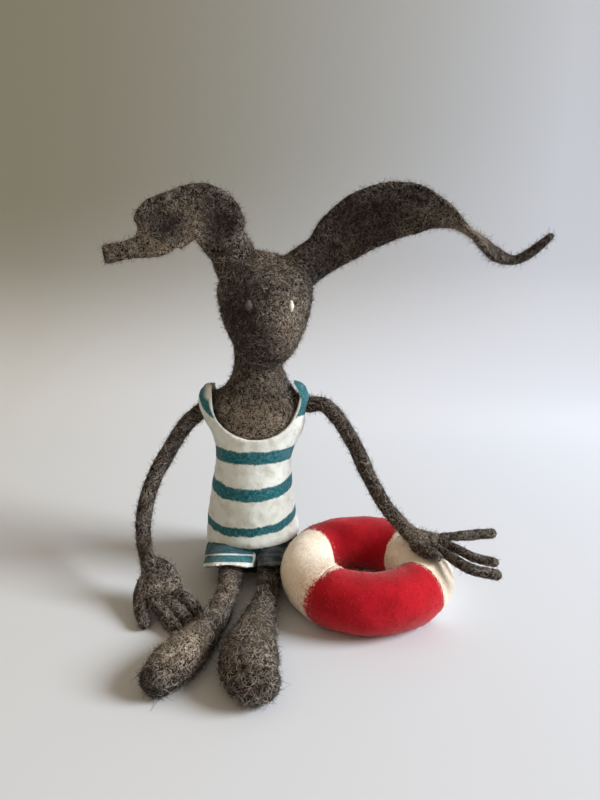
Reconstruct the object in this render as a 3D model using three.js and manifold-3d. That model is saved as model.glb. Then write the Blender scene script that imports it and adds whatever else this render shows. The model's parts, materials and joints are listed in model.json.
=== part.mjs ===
// A needle-felted rabbit doll that sits in a striped bathing suit, one hand on a felt lifebuoy.
// Millimetres, +Z up. The doll faces -Y and its own left is +X. The whole part stands on Z = 0,
// with the origin under the middle of its bounding box.
// Each felted form is a run of elliptical sections along a smooth path. A limb's path is cut at its
// bending points: each moving piece starts in a ball about its pivot, beside its neighbour's flat end.
import * as THREE from "three";
import { mergeVertices } from "three/addons/utils/BufferGeometryUtils.js";
import Module from "manifold-3d";

const wasm = await Module();
wasm.setup();

// Clearances
const GAP = 0.3; // between neighbouring pieces
const TURN_GAP = 0.5; // around the neck, which the head turns on
const FLOOR_PRESS = 0.5; // wool settles flat by this depth where it rests on the surface

// Body
const SUIT_THICK = 2.8; // felt sheet of the bathing suit
const HIP_HALF_WIDTH = 28.5;
const HIP_HALF_DEPTH = 23;
const HIP_BACK = 2.6; // the hips' Y
const WAIST_HALF_WIDTH = 21.2;
const WAIST_HALF_DEPTH = 17.5;
const CHEST_HALF_WIDTH = 29;
const CHEST_HALF_DEPTH = 16.5;
const WAIST_HEIGHT = 74;
const SHOULDER_HEIGHT = 103;
const SHOULDER_TOP = SHOULDER_HEIGHT + 12;
const SHOULDER_REACH = 32; // from the middle of the body out to the arm's pivot
const SHOULDER_BALL = 5;
const BODY_MIDDLE = 1.2; // the waist's X: the doll sits a little off straight

// Bathing suit openings
const NECKLINE_FRONT = SHOULDER_HEIGHT - 14;
const NECKLINE_BACK = SHOULDER_HEIGHT - 6;
const NECKLINE_HALF_WIDTH = CHEST_HALF_WIDTH - 5;
const NECKLINE_CUT_ABOVE = 20; // the cut runs on this far past the shoulders
const ARMHOLE_MIDDLE = SHOULDER_HEIGHT - 7;
const ARMHOLE_HALF_HEIGHT = 14.5;
const ARMHOLE_HALF_DEPTH = 12.5;
const SUIT_LEG_THICK = 2.2;

// Neck and head
const NECK_PIVOT = new THREE.Vector3(2.8, 3, SHOULDER_TOP + 5);
const NECK_BALL = 14;
const NECK_RADIUS = 14.3;
const NECK_LENGTH = 31;
const NECK_TOP = NECK_PIVOT.z + NECK_LENGTH;
const HEAD_SOCKET_DEPTH = 8;
const HEAD_SIDES = 16;
const EYE_RADIUS = 2.6;
const EYE_SINKS_IN = 1.2; // from the head's surface to the eye's middle
const EYE_HEIGHT = NECK_TOP + 17;
const EYE_SPACING = 23.2;
const EYE_MIDDLE = 12.2; // the head looks a little to its left

// Limbs
const ARM_RADIUS = 4.7;
const WRIST_RADIUS = 4.2;
const THUMB_RADIUS = 3.3;
const FINGER_RADIUS = 2.6;
const KNUCKLE_RADIUS = 2.7; // ball at the root of each digit
const PALM_HALF_DEPTH = 3.9;
const HIP_BALL = 6.4;
const HIP_FORWARD = 29; // the leg's pivot, ahead of Y = 0
const EAR_BALL = 7.5;
const EAR_HALF_THICK = 2;

// Armature wire
const BODY_WIRE_RADIUS = 1.2;
const LIMB_WIRE_RADIUS = 0.8;
const DIGIT_WIRE_RADIUS = 0.5;
const WIRE_END_COVER = 6; // wool beyond the wire's end in a foot, digit or ear tip
const WIRE_STOPS_SHORT = 0.5; // between a wire's end and the ball it runs towards
const CHANNEL_RUNS_ON = 3; // so that a channel opens into the ball's dish
const SHOULDER_BAR_HEIGHT = SHOULDER_HEIGHT - 5;
const HIP_BAR_HEIGHT = 15;
const EAR_BAR_ABOVE_NECK = 12;

// Lifebuoy
const BUOY_RADIUS = 50;
const BUOY_TUBE_RADIUS = 16.2;
const BUOY_X = 68.3;
const BUOY_Y = -39.6;
const BUOY_RING_SIDES = 36;
const BUOY_TUBE_SIDES = 12;

// Materials
const wool = new THREE.MeshStandardMaterial({ color: 0x4a423d, roughness: 0.95, metalness: 0 });
const creamFelt = new THREE.MeshStandardMaterial({ color: 0xe6e2d2, roughness: 0.92, metalness: 0 });
const redFelt = new THREE.MeshStandardMaterial({ color: 0xb11426, roughness: 0.92, metalness: 0 });
const eyeFelt = new THREE.MeshStandardMaterial({ color: 0xdcd8cc, roughness: 0.9, metalness: 0 });
const wire = new THREE.MeshStandardMaterial({ color: 0xb9bcc0, roughness: 0.4, metalness: 1 });

const UP = new THREE.Vector3(0, 0, 1);
const vec = (x, y, z) => new THREE.Vector3(x, y, z);

// Solids

function solidOf(geometry) {
  const bare = geometry.clone();
  bare.deleteAttribute("normal");
  bare.deleteAttribute("uv");
  const merged = mergeVertices(bare, 1e-4);
  return new wasm.Manifold(
    new wasm.Mesh({
      numProp: 3,
      vertProperties: new Float32Array(merged.attributes.position.array),
      triVerts: new Uint32Array(merged.index.array),
    }),
  );
}

function geometryOf(solid) {
  const mesh = solid.getMesh();
  const geometry = new THREE.BufferGeometry();
  geometry.setAttribute("position", new THREE.BufferAttribute(new Float32Array(mesh.vertProperties), 3));
  geometry.setIndex(new THREE.BufferAttribute(new Uint32Array(mesh.triVerts), 1));
  geometry.computeVertexNormals();
  return geometry;
}

const cut = (solid, ...tools) => tools.reduce((left, tool) => left.subtract(tool), solid);

const joined = (first, ...others) => others.reduce((sum, other) => sum.add(other), first);

// A faceted ball whose flat faces, not its corners, lie at the radius
function ball(centre, radius, across = 12, down = 8) {
  const flats = Math.cos(Math.PI / across) * Math.cos(Math.PI / 2 / down);
  return solidOf(new THREE.SphereGeometry(radius / flats, across, down).translate(...centre));
}

// A closed skin over rings of points, each ring counter-clockwise seen from ahead of the path.
function skinned(rings, startPoint, endPoint) {
  const sides = rings[0].length;
  const points = [...rings.flat(), startPoint, endPoint];
  const startIndex = points.length - 2;
  const endIndex = points.length - 1;
  const lastRing = (rings.length - 1) * sides;
  const index = [];
  for (let side = 0; side < sides; side++) {
    const next = (side + 1) % sides;
    for (let ring = 0; ring + 1 < rings.length; ring++) {
      const low = ring * sides;
      const high = low + sides;
      index.push(low + side, low + next, high + side, high + side, low + next, high + next);
    }
    index.push(startIndex, next, side, endIndex, lastRing + side, lastRing + next);
  }
  const geometry = new THREE.BufferGeometry().setFromPoints(points);
  geometry.setIndex(index);
  return geometry;
}

// Felted forms

// A path with sections. A station is [x, y, z, half width, half depth, [across], cup]: the width lies
// along across, and cup lifts the section's two edges towards its depth direction.
class FeltPath {
  constructor(stations, across = vec(1, 0, 0)) {
    this.last = stations.length - 1;
    const places = stations.map(([x, y, z]) => vec(x, y, z));
    this.line = new THREE.CatmullRomCurve3(places, false, "centripetal");
    this.sizes = new THREE.CatmullRomCurve3(
      stations.map((station) => vec(station[3], station[4], station[6] ?? 0)),
      false,
      "catmullrom",
      0.5,
    );
    this.acrosses = stations.map((station) => vec(...(station[5] ?? across)).normalize());
  }

  // The path's place, direction and section at a station number, which may be a fraction.
  at(station) {
    const share = Math.min(Math.max(station / this.last, 0), 1);
    const before = Math.min(Math.floor(station), this.last - 1);
    const direction = this.line.getTangent(share).normalize();
    const across = this.acrosses[before].clone().lerp(this.acrosses[before + 1], station - before);
    across.addScaledVector(direction, -across.dot(direction)).normalize();
    const size = this.sizes.getPoint(share);
    return {
      point: this.line.getPoint(share),
      direction,
      across,
      depth: direction.clone().cross(across),
      wide: size.x,
      deep: size.y,
      cup: size.z,
    };
  }

  // The station number that lies a distance along the path from another one.
  beyond(station, distance) {
    const step = Math.sign(distance) * 0.002;
    let walked = 0;
    let here = station;
    let point = this.line.getPoint(here / this.last);
    while (walked < Math.abs(distance) && here + step >= 0 && here + step <= this.last) {
      here += step;
      const next = this.line.getPoint(here / this.last);
      walked += next.distanceTo(point);
      point = next;
    }
    return here;
  }
}

function section(frame, sides, { wide = frame.wide, deep = frame.deep, ahead = 0 } = {}) {
  return Array.from({ length: sides }, (_, side) => {
    const angle = (2 * Math.PI * side) / sides;
    const lift = deep * Math.sin(angle) + frame.cup * Math.cos(angle) ** 2;
    return frame.point
      .clone()
      .addScaledVector(frame.direction, ahead)
      .addScaledVector(frame.across, wide * Math.cos(angle))
      .addScaledVector(frame.depth, lift);
  });
}

const capRadius = (frame, most = Infinity) => Math.min(frame.wide, frame.deep, most);

// Rings that round off a form's end, like a ball where the section is round.
function roundEnd(frame, sides, sense, most) {
  const radius = capRadius(frame, most);
  const turns = sides <= 8 ? [45] : [30, 60];
  return turns.map((degrees) => {
    const angle = THREE.MathUtils.degToRad(degrees);
    const drawnIn = radius * (1 - Math.cos(angle));
    return section(frame, sides, {
      wide: frame.wide - drawnIn,
      deep: frame.deep - drawnIn,
      ahead: sense * radius * Math.sin(angle),
    });
  });
}

// Frames a station apart, from one station number to another, so that forms on one path bend alike.
function framesAlong(path, from, to) {
  const frames = [];
  for (let here = from; here < to - 0.2; here++) frames.push(path.at(here));
  frames.push(path.at(to));
  return frames;
}

// One felted form between two stations of a path. Its ends are round, or flat where it says so.
// A flat start can be pushed back, and a form can grow all round.
function felted(path, options = {}) {
  const { from = 0, to = path.last, sides = 10, grow = 0, pushBack = 0 } = options;
  const { flatStart, flatEnd, capMost } = options;
  const frames = framesAlong(path, from, to);
  for (const frame of frames) {
    frame.wide += grow;
    frame.deep += grow;
  }
  const first = frames[0];
  const last = frames[frames.length - 1];
  first.point.addScaledVector(first.direction, -pushBack);
  const rings = frames.map((frame) => section(frame, sides));
  if (!flatStart) rings.unshift(...roundEnd(first, sides, -1, capMost).reverse());
  if (!flatEnd) rings.push(...roundEnd(last, sides, 1, capMost));
  const tip = (frame, sense, flat) =>
    frame.point.clone().addScaledVector(frame.direction, flat ? 0 : sense * capRadius(frame, capMost));
  return solidOf(skinned(rings, tip(first, -1, flatStart), tip(last, 1, flatEnd)));
}

// A wire of even radius along a path, with flat ends. It can run on straight past its last station.
function wireAlong(path, from, to, radius, runOn = 0, sides = 5) {
  const frames = framesAlong(path, from, to);
  for (const frame of frames) frame.cup = 0;
  const last = frames[frames.length - 1];
  const rings = frames.map((frame) => section(frame, sides, { wide: radius, deep: radius }));
  if (runOn) rings.push(section(last, sides, { wide: radius, deep: radius, ahead: runOn }));
  const end = last.point.clone().addScaledVector(last.direction, runOn);
  return solidOf(skinned(rings, frames[0].point, end));
}

// A straight rod between two points.
function rod(start, end, radius, sides = 12) {
  const length = start.distanceTo(end);
  const geometry = new THREE.CylinderGeometry(radius, radius, length, sides).translate(0, length / 2, 0);
  geometry.applyQuaternion(
    new THREE.Quaternion().setFromUnitVectors(vec(0, 1, 0), end.clone().sub(start).normalize()),
  );
  return solidOf(geometry.translate(start.x, start.y, start.z));
}

// An upright prism of an outline drawn in the XZ plane, from one Y to another.
function prismAlongY(outline, fromY, toY) {
  const geometry = new THREE.ExtrudeGeometry(outline, { depth: toY - fromY, bevelEnabled: false });
  return solidOf(geometry.rotateX(Math.PI / 2).translate(0, toY, 0));
}

const surfaceBlock = solidOf(new THREE.BoxGeometry(600, 600, 60).translate(0, 0, -30));

// A block that starts a distance back from a frame and fills the space ahead of it.
function aheadOf(frame, back) {
  const size = 60;
  const block = new THREE.BoxGeometry(size, size, size).translate(0, 0, size / 2 - back);
  const turn = new THREE.Matrix4().makeBasis(frame.across, frame.depth, frame.direction);
  return solidOf(block.applyMatrix4(turn).translate(...frame.point));
}

// The doll's tree of bodies: each is a group at its pivot, inside the group that carries it.

const doll = new THREE.Group();
doll.name = "felt_rabbit_doll";
const bodies = new Map();

function addBody(name, pivot, carrier) {
  const group = new THREE.Group();
  group.position.copy(pivot);
  if (carrier) group.position.sub(bodies.get(carrier).pivot);
  (carrier ? bodies.get(carrier).group : doll).add(group);
  bodies.set(name, { group, pivot });
}

function addPiece(body, name, solid, material) {
  const { group, pivot } = bodies.get(body);
  const mesh = new THREE.Mesh(geometryOf(solid).translate(-pivot.x, -pivot.y, -pivot.z), material);
  mesh.name = name;
  group.add(mesh);
}

// A limb's stretch between two of its bending points: the felt with its wire channel, and the wire.
function limbStretch(path, from, to, { sides, wireRadius, endsFree }) {
  const root = path.at(from);
  const feltEnd = endsFree ? to : path.beyond(to, -(capRadius(path.at(to)) + GAP));
  const wireEnd = path.beyond(feltEnd, endsFree ? -WIRE_END_COVER : -GAP);
  const mouth = rod(
    root.point.clone().addScaledVector(root.direction, -capRadius(root) - 4 * GAP),
    root.point.clone().addScaledVector(root.direction, GAP),
    wireRadius + GAP,
    5,
  );
  const runOn = endsFree ? GAP : 4 * GAP;
  const channel = joined(mouth, wireAlong(path, from, wireEnd, wireRadius + GAP, runOn));
  const whole = felted(path, { from, to, sides, flatEnd: !endsFree });
  const trimmed = endsFree ? whole : cut(whole, aheadOf(path.at(to), capRadius(path.at(to)) + GAP));
  return {
    felt: cut(trimmed, channel, surfaceBlock),
    wire: wireAlong(path, from, wireEnd, wireRadius),
    channel,
    pivot: root.point,
  };
}

// Body, bathing suit and neck

const bodyPath = new FeltPath([
  [-1.4, HIP_BACK, SUIT_THICK + GAP, HIP_HALF_WIDTH - 3.5, HIP_HALF_DEPTH - 3],
  [-1.2, HIP_BACK, 16, HIP_HALF_WIDTH, HIP_HALF_DEPTH],
  [-0.6, HIP_BACK - 0.4, 34, HIP_HALF_WIDTH - 2.2, HIP_HALF_DEPTH - 1.4],
  [0.2, 1.6, 53, 24.2, 19.4],
  [BODY_MIDDLE, 1.4, WAIST_HEIGHT, WAIST_HALF_WIDTH, WAIST_HALF_DEPTH],
  [1.6, 1.6, NECKLINE_FRONT, WAIST_HALF_WIDTH + 3.2, CHEST_HALF_DEPTH + 0.5],
  [1.8, 2, SHOULDER_HEIGHT - 3, CHEST_HALF_WIDTH - 1.2, CHEST_HALF_DEPTH],
  [2, 2.4, SHOULDER_HEIGHT + 4, CHEST_HALF_WIDTH, CHEST_HALF_DEPTH - 1],
  [2.4, 2.8, SHOULDER_TOP - 3, CHEST_HALF_WIDTH - 4, CHEST_HALF_DEPTH - 2],
  [2.6, 3, SHOULDER_TOP, CHEST_HALF_WIDTH - 9, CHEST_HALF_DEPTH - 3],
]);
const bodyOptions = { sides: 16, flatStart: true, flatEnd: true };

const neckPath = new FeltPath([
  [NECK_PIVOT.x, NECK_PIVOT.y, NECK_PIVOT.z, NECK_BALL, NECK_BALL],
  [2.9, 3.2, NECK_PIVOT.z + 11, NECK_RADIUS, NECK_RADIUS],
  [3, 3.5, NECK_TOP - HEAD_SOCKET_DEPTH - 2, NECK_RADIUS, NECK_RADIUS],
  [3, 3.5, NECK_TOP, NECK_RADIUS, NECK_RADIUS],
]);

// Places that two pieces share
const shoulder = {
  right: vec(1.2 - SHOULDER_REACH, 2, SHOULDER_HEIGHT - 1),
  left: vec(1.5 + SHOULDER_REACH, 2, SHOULDER_HEIGHT + 1.5),
};
const hip = {
  right: vec(-13.4, -HIP_FORWARD, 10.6),
  left: vec(9.4, -HIP_FORWARD, 10.6),
};
const wrist = {
  right: vec(-59, -46, 25.5),
  left: vec(88.6, -30.5, 39.3),
};

// Limb paths

const arms = {
  right: {
    path: new FeltPath([
      [...shoulder.right, SHOULDER_BALL, SHOULDER_BALL],
      [-41, -3, 94, ARM_RADIUS, ARM_RADIUS],
      [-49.5, -8, 81.5, ARM_RADIUS, ARM_RADIUS],
      [-57.5, -14, 68, ARM_RADIUS, ARM_RADIUS],
      [-62.4, -21, 55.5, ARM_RADIUS, ARM_RADIUS],
      [-64, -29, 44, ARM_RADIUS, ARM_RADIUS],
      [-62.6, -38, 34.5, ARM_RADIUS - 0.2, ARM_RADIUS - 0.2],
      [...wrist.right, WRIST_RADIUS, WRIST_RADIUS],
    ]),
    bends: [0, 3.4],
    names: ["upper_arm_right", "forearm_right"],
  },
  left: {
    path: new FeltPath([
      [...shoulder.left, SHOULDER_BALL, SHOULDER_BALL],
      [41.5, 0, 105.5, ARM_RADIUS, ARM_RADIUS],
      [48.5, -3, 100, ARM_RADIUS, ARM_RADIUS],
      [55.4, -6, 91.5, ARM_RADIUS - 0.2, ARM_RADIUS - 0.2],
      [62.4, -10, 79.5, ARM_RADIUS - 0.3, ARM_RADIUS - 0.3],
      [68.6, -14.5, 66.5, ARM_RADIUS - 0.3, ARM_RADIUS - 0.3],
      [75.2, -19, 54.5, ARM_RADIUS - 0.3, ARM_RADIUS - 0.3],
      [82, -24, 44.8, ARM_RADIUS - 0.4, ARM_RADIUS - 0.4],
      [...wrist.left, WRIST_RADIUS, WRIST_RADIUS],
    ]),
    bends: [0, 4.4],
    names: ["upper_arm_left", "forearm_left"],
  },
};

const palms = {
  right: new FeltPath([
    [...wrist.right, WRIST_RADIUS, WRIST_RADIUS],
    [-55.4, -50.2, 18.4, 6.8, PALM_HALF_DEPTH + 0.2, [1, 0, -0.1]],
    [-50.8, -54, 12.8, 8.2, PALM_HALF_DEPTH, [1, 0.12, -0.05]],
    [-48, -56.6, 9.8, 9, PALM_HALF_DEPTH - 0.6, [1, 0.15, 0]],
  ]),
  left: new FeltPath([
    [...wrist.left, WRIST_RADIUS, WRIST_RADIUS, [0.6, 0.8, 0]],
    [93, -36.2, 37, 6.2, PALM_HALF_DEPTH, [0.55, 0.83, 0]],
    [98.6, -41, 36.4, 7.4, PALM_HALF_DEPTH, [0.5, 0.86, 0]],
    [103.6, -43.4, 36.6, 6.4, PALM_HALF_DEPTH - 0.6, [0.45, 0.9, 0]],
  ]),
};

const digits = {
  right: {
    thumb: new FeltPath([
      [-62.8, -51.8, 14.2, THUMB_RADIUS, THUMB_RADIUS],
      [-65, -58, 7.8, THUMB_RADIUS + 0.4, THUMB_RADIUS + 0.4],
      [-59.4, -67, 3.9, THUMB_RADIUS + 0.5, THUMB_RADIUS + 0.5],
      [-55, -74, 3.1, THUMB_RADIUS - 0.1, THUMB_RADIUS - 0.1],
    ]),
    first_finger: new FeltPath([
      [-53.6, -62.8, 7.7, KNUCKLE_RADIUS, KNUCKLE_RADIUS],
      [-49, -67.6, 5.4, FINGER_RADIUS, FINGER_RADIUS],
      [-42.6, -75, 3.2, FINGER_RADIUS, FINGER_RADIUS],
      [-37.4, -80, 2.2, FINGER_RADIUS - 0.1, FINGER_RADIUS - 0.1],
    ]),
    middle_finger: new FeltPath([
      [-46.6, -61.8, 8.4, KNUCKLE_RADIUS, KNUCKLE_RADIUS],
      [-41.4, -66.8, 7, FINGER_RADIUS, FINGER_RADIUS],
      [-35.6, -71.6, 4.6, FINGER_RADIUS, FINGER_RADIUS],
      [-31.6, -75.4, 3.2, FINGER_RADIUS - 0.1, FINGER_RADIUS - 0.1],
    ]),
    last_finger: new FeltPath([
      [-40.6, -58, 9.7, KNUCKLE_RADIUS, KNUCKLE_RADIUS],
      [-34.2, -60.4, 8.6, FINGER_RADIUS, FINGER_RADIUS],
      [-30, -63, 6.6, FINGER_RADIUS, FINGER_RADIUS],
      [-27, -66, 4, FINGER_RADIUS - 0.1, FINGER_RADIUS - 0.1],
    ]),
  },
  left: {
    thumb: new FeltPath([
      [93.4, -48.6, 36.1, THUMB_RADIUS, THUMB_RADIUS],
      [97, -53.6, 36.1, THUMB_RADIUS, THUMB_RADIUS],
      [101, -57.8, 36.1, THUMB_RADIUS, THUMB_RADIUS],
      [103.4, -60, 36.1, THUMB_RADIUS - 0.2, THUMB_RADIUS - 0.2],
    ]),
    first_finger: new FeltPath([
      [108.6, -40.2, 37, KNUCKLE_RADIUS, KNUCKLE_RADIUS],
      [115, -40, 37.6, FINGER_RADIUS - 0.2, FINGER_RADIUS - 0.2],
      [126, -39.6, 38.2, FINGER_RADIUS, FINGER_RADIUS],
      [139.6, -37.2, 38.2, FINGER_RADIUS, FINGER_RADIUS],
    ]),
    middle_finger: new FeltPath([
      [108.6, -46.4, 36.6, KNUCKLE_RADIUS, KNUCKLE_RADIUS],
      [115, -50.6, 36.2, FINGER_RADIUS - 0.3, FINGER_RADIUS - 0.3],
      [124, -56.4, 34.4, FINGER_RADIUS - 0.3, FINGER_RADIUS - 0.3],
      [135, -58, 31.6, FINGER_RADIUS - 0.2, FINGER_RADIUS - 0.2],
    ]),
    last_finger: new FeltPath([
      [104, -51, 36.2, KNUCKLE_RADIUS, KNUCKLE_RADIUS],
      [109.4, -58, 35.8, FINGER_RADIUS, FINGER_RADIUS],
      [118.6, -66.2, 34, FINGER_RADIUS, FINGER_RADIUS],
      [133.4, -67.4, 29.6, FINGER_RADIUS, FINGER_RADIUS],
    ]),
  },
};

// The height of a form's middle when it rests on the surface
const resting = (halfDepth) => halfDepth - FLOOR_PRESS;

const legs = {
  right: {
    path: new FeltPath([
      [...hip.right, HIP_BALL, HIP_BALL],
      [-12.8, -45, 10.6, 6.3, 6.3],
      [-13.6, -60, 9.8, 6.3, 6.3],
      [-16.8, -75, 9, 6.8, 6.8],
      [-22.6, -92, resting(8.6), 8.8, 8.6],
      [-29, -108, resting(9.8), 10.4, 9.8],
      [-35.4, -120.6, resting(9.2), 9.8, 9.2],
      [-38, -125, resting(8.2), 8.8, 8.2],
    ]),
    suit: new FeltPath([
      [...hip.right, HIP_BALL + GAP + SUIT_LEG_THICK, HIP_BALL + GAP + SUIT_LEG_THICK],
      [-13, -38, 11, 10.6, 9.4],
      [-12.6, -47, 11.4, 12, 9.8],
    ]),
    bends: [0, 2.4],
    names: ["thigh_right", "lower_leg_right"],
  },
  left: {
    path: new FeltPath([
      [...hip.left, HIP_BALL, HIP_BALL],
      [9.6, -45, 10.2, 6, 6],
      [9, -60, 9.8, 6.3, 6.3],
      [7.4, -77, 9.6, 7.6, 7.6],
      [6, -95, resting(9.6), 9.8, 9.6],
      [5.8, -111, resting(11), 12, 11],
      [6.8, -126, resting(11.6), 13, 11.6],
      [7.2, -131.5, resting(10.6), 12.2, 10.6],
    ]),
    suit: new FeltPath([
      [...hip.left, HIP_BALL + GAP + SUIT_LEG_THICK, HIP_BALL + GAP + SUIT_LEG_THICK],
      [9.4, -37, 10.4, 8.8, 8.7],
      [9.4, -45.5, 10.2, 8.6, 8.5],
    ]),
    bends: [0, 2.4],
    names: ["thigh_left", "lower_leg_left"],
  },
};

// Stations whose heights are counted from the neck's top
const aboveNeck = (stations) => stations.map(([x, y, above, ...rest]) => [x, y, NECK_TOP + above, ...rest]);

const ears = {
  right: {
    path: new FeltPath(aboveNeck([
      [-12, 5, 42.4, EAR_BALL, EAR_BALL, [0.92, 0, 0.39]],
      [-15.6, 2.6, 51.4, 10.4, 4.2, [0.92, 0, 0.39]],
      [-18.8, 0.4, 59, 13.2, 2.8, [0.86, 0, 0.5], -1.2],
      [-22, -3, 64.6, 13.6, EAR_HALF_THICK + 0.2, [0.66, 0, 0.75], -1.6],
      [-27, -6, 67.4, 13.6, EAR_HALF_THICK, [0.3, 0, 0.95]],
      [-39.5, -7, 63.5, 16.6, EAR_HALF_THICK, [0.02, -0.1, 1], -2],
      [-53.6, -8, 58.4, 16.8, EAR_HALF_THICK, [-0.2, -0.1, 1], -2],
      [-62.8, -9, 52.6, 10, EAR_HALF_THICK, [-0.4, 0, 0.92]],
      [-69.8, -9, 46.8, 3.2, EAR_HALF_THICK, [0, 0, 1]],
      [-79, -9, 44.4, 5.4, EAR_HALF_THICK - 0.2, [0, 0.2, 1]],
    ])),
    bends: [0, 4],
    names: ["ear_base_right", "ear_tip_right"],
  },
  left: {
    path: new FeltPath(aboveNeck([
      [31.2, 5.6, 39.4, EAR_BALL, EAR_BALL, [-0.6, 0, 0.8]],
      [41, 5, 45.2, 10.6, 4.4, [-0.6, 0, 0.8]],
      [51, 3, 52.4, 15, 3, [-0.55, 0, 0.83], 2],
      [65, 0, 61.8, 16.6, EAR_HALF_THICK + 0.2, [-0.35, 0, 0.94], 3],
      [79.6, -4, 66.6, 15.6, EAR_HALF_THICK, [-0.1, 0, 1], 4],
      [93, -7, 67.6, 13.2, EAR_HALF_THICK, [0.2, -0.2, 0.95], 3],
      [105, -9, 65.2, 9, EAR_HALF_THICK, [0.4, -0.6, 0.7], 1],
      [116, -10, 58.8, 8, EAR_HALF_THICK, [0.4, -0.8, -0.2]],
      [127.4, -10, 50.6, 7.8, EAR_HALF_THICK, [0.4, -0.6, -0.6]],
      [137.6, -9, 43.4, 5, EAR_HALF_THICK, [0.3, -0.4, -0.8]],
      [146.8, -8.4, 40.2, 2.8, EAR_HALF_THICK, [0.1, -0.4, -0.9]],
      [156.4, -8, 44.2, 2.8, EAR_HALF_THICK, [0, -0.4, -0.9]],
      [167, -8, 53.4, 1.9, EAR_HALF_THICK - 0.3, [0, -0.4, -0.9]],
    ])),
    bends: [0, 6],
    names: ["ear_base_left", "ear_tip_left"],
  },
};

const SIDES = ["right", "left"];

const suitHipBall = HIP_BALL + GAP + SUIT_LEG_THICK;

// Body wire: a spine with a bar to both shoulders and one to both hips, twisted together
const spineFoot = vec(-1, HIP_BACK, 14);
const spineTop = NECK_PIVOT.clone().addScaledVector(UP, -NECK_BALL - 2 * GAP);
const spineAt = (height) => {
  const share = (height - spineFoot.z) / (spineTop.z - spineFoot.z);
  return spineFoot.clone().lerp(spineTop, share);
};
function bodyWire(radius, reach) {
  const bar = (place, height, ball) =>
    SIDES.map((side) => {
      const start = spineAt(height);
      const run = place[side].clone().sub(start);
      run.setLength(run.length() - ball - GAP + reach);
      return rod(start, start.clone().add(run), radius, 6);
    });
  const upward = spineTop.clone().addScaledVector(UP, reach);
  return joined(
    rod(spineFoot, upward, radius, 6),
    ...bar(shoulder, SHOULDER_BAR_HEIGHT, SHOULDER_BALL),
    ...bar(hip, HIP_BAR_HEIGHT, suitHipBall + SUIT_THICK),
  );
}

// Round dishes that the limbs' balls turn in, and the wider ones that the suit's legs turn in
const neckDish = ball(NECK_PIVOT, NECK_BALL + GAP, 18, 12);
const shoulderDishes = SIDES.map((side) => ball(shoulder[side], SHOULDER_BALL + GAP));
const hipDishes = SIDES.map((side) => ball(hip[side], suitHipBall + GAP));

addBody("torso", vec(0, 0, 0));

const torsoWhole = felted(bodyPath, bodyOptions);
const bodyChannel = bodyWire(BODY_WIRE_RADIUS + GAP, CHANNEL_RUNS_ON);
addPiece("torso", "torso", cut(torsoWhole, neckDish, ...shoulderDishes, ...hipDishes, bodyChannel), wool);
addPiece("torso", "armature_spine", bodyWire(BODY_WIRE_RADIUS, -WIRE_STOPS_SHORT), wire);

// The suit: a felt sheet round the body, open at the neckline, the arms and the legs
function bathingSuit() {
  const sheet = felted(bodyPath, { ...bodyOptions, grow: SUIT_THICK + GAP, pushBack: 2 * SUIT_THICK });
  const room = felted(bodyPath, { ...bodyOptions, grow: GAP, pushBack: GAP });
  const scoop = (lowest) => {
    const outline = new THREE.Shape();
    const half = NECKLINE_HALF_WIDTH;
    outline.moveTo(-half, SHOULDER_TOP + NECKLINE_CUT_ABOVE);
    outline.lineTo(-half, SHOULDER_TOP);
    outline.bezierCurveTo(-half, lowest + 6, -half * 0.55, lowest, 0, lowest);
    outline.bezierCurveTo(half * 0.55, lowest, half, lowest + 6, half, SHOULDER_TOP);
    outline.lineTo(half, SHOULDER_TOP + NECKLINE_CUT_ABOVE);
    return outline;
  };
  const middle = bodyPath.at(7).point.x;
  const front = prismAlongY(scoop(NECKLINE_FRONT), -60, 2).translate([middle, 0, 0]);
  const back = prismAlongY(scoop(NECKLINE_BACK), 1, 60).translate([middle, 0, 0]);
  const armhole = (side) =>
    solidOf(
      new THREE.CylinderGeometry(1, 1, 30, 20)
        .rotateZ(Math.PI / 2)
        .scale(1, ARMHOLE_HALF_DEPTH, ARMHOLE_HALF_HEIGHT)
        .translate(shoulder[side].x, shoulder[side].y, ARMHOLE_MIDDLE),
    );
  return cut(sheet, room, front, back, ...SIDES.map(armhole), ...hipDishes, surfaceBlock);
}
addPiece("torso", "swimsuit", bathingSuit(), creamFelt);

const neckHead = vec(3, 3.5, NECK_TOP);
addBody("neck", NECK_PIVOT, "torso");
function neckWire(radius, below, above) {
  const start = NECK_PIVOT.clone().addScaledVector(UP, below);
  return rod(start, neckHead.clone().addScaledVector(UP, above), radius, 6);
}
addPiece(
  "neck",
  "neck",
  cut(
    felted(neckPath, { sides: HEAD_SIDES, flatEnd: true }),
    neckWire(BODY_WIRE_RADIUS + GAP, -NECK_BALL - 1, 1),
  ),
  wool,
);
addPiece("neck", "armature_neck", neckWire(BODY_WIRE_RADIUS, -NECK_BALL + 1, -WIRE_STOPS_SHORT), wire);

// Head, eyes and ears

const headPath = new FeltPath(aboveNeck([
  [7.6, -10, -5, 20.5, 20],
  [7.8, -9.5, 1, 23.6, 24],
  [7.9, -7.5, 9, 26, 25.5],
  [8, -4.5, 17, 27.4, 25],
  [8.1, -1, 25, 28.2, 23],
  [7.6, 3, 33, 25.6, 20],
  [7.2, 5, 39.5, 18.5, 14.5],
]));
const headForm = felted(headPath, { sides: HEAD_SIDES, capMost: 6 });
addBody("head", neckHead, "neck");

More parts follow.
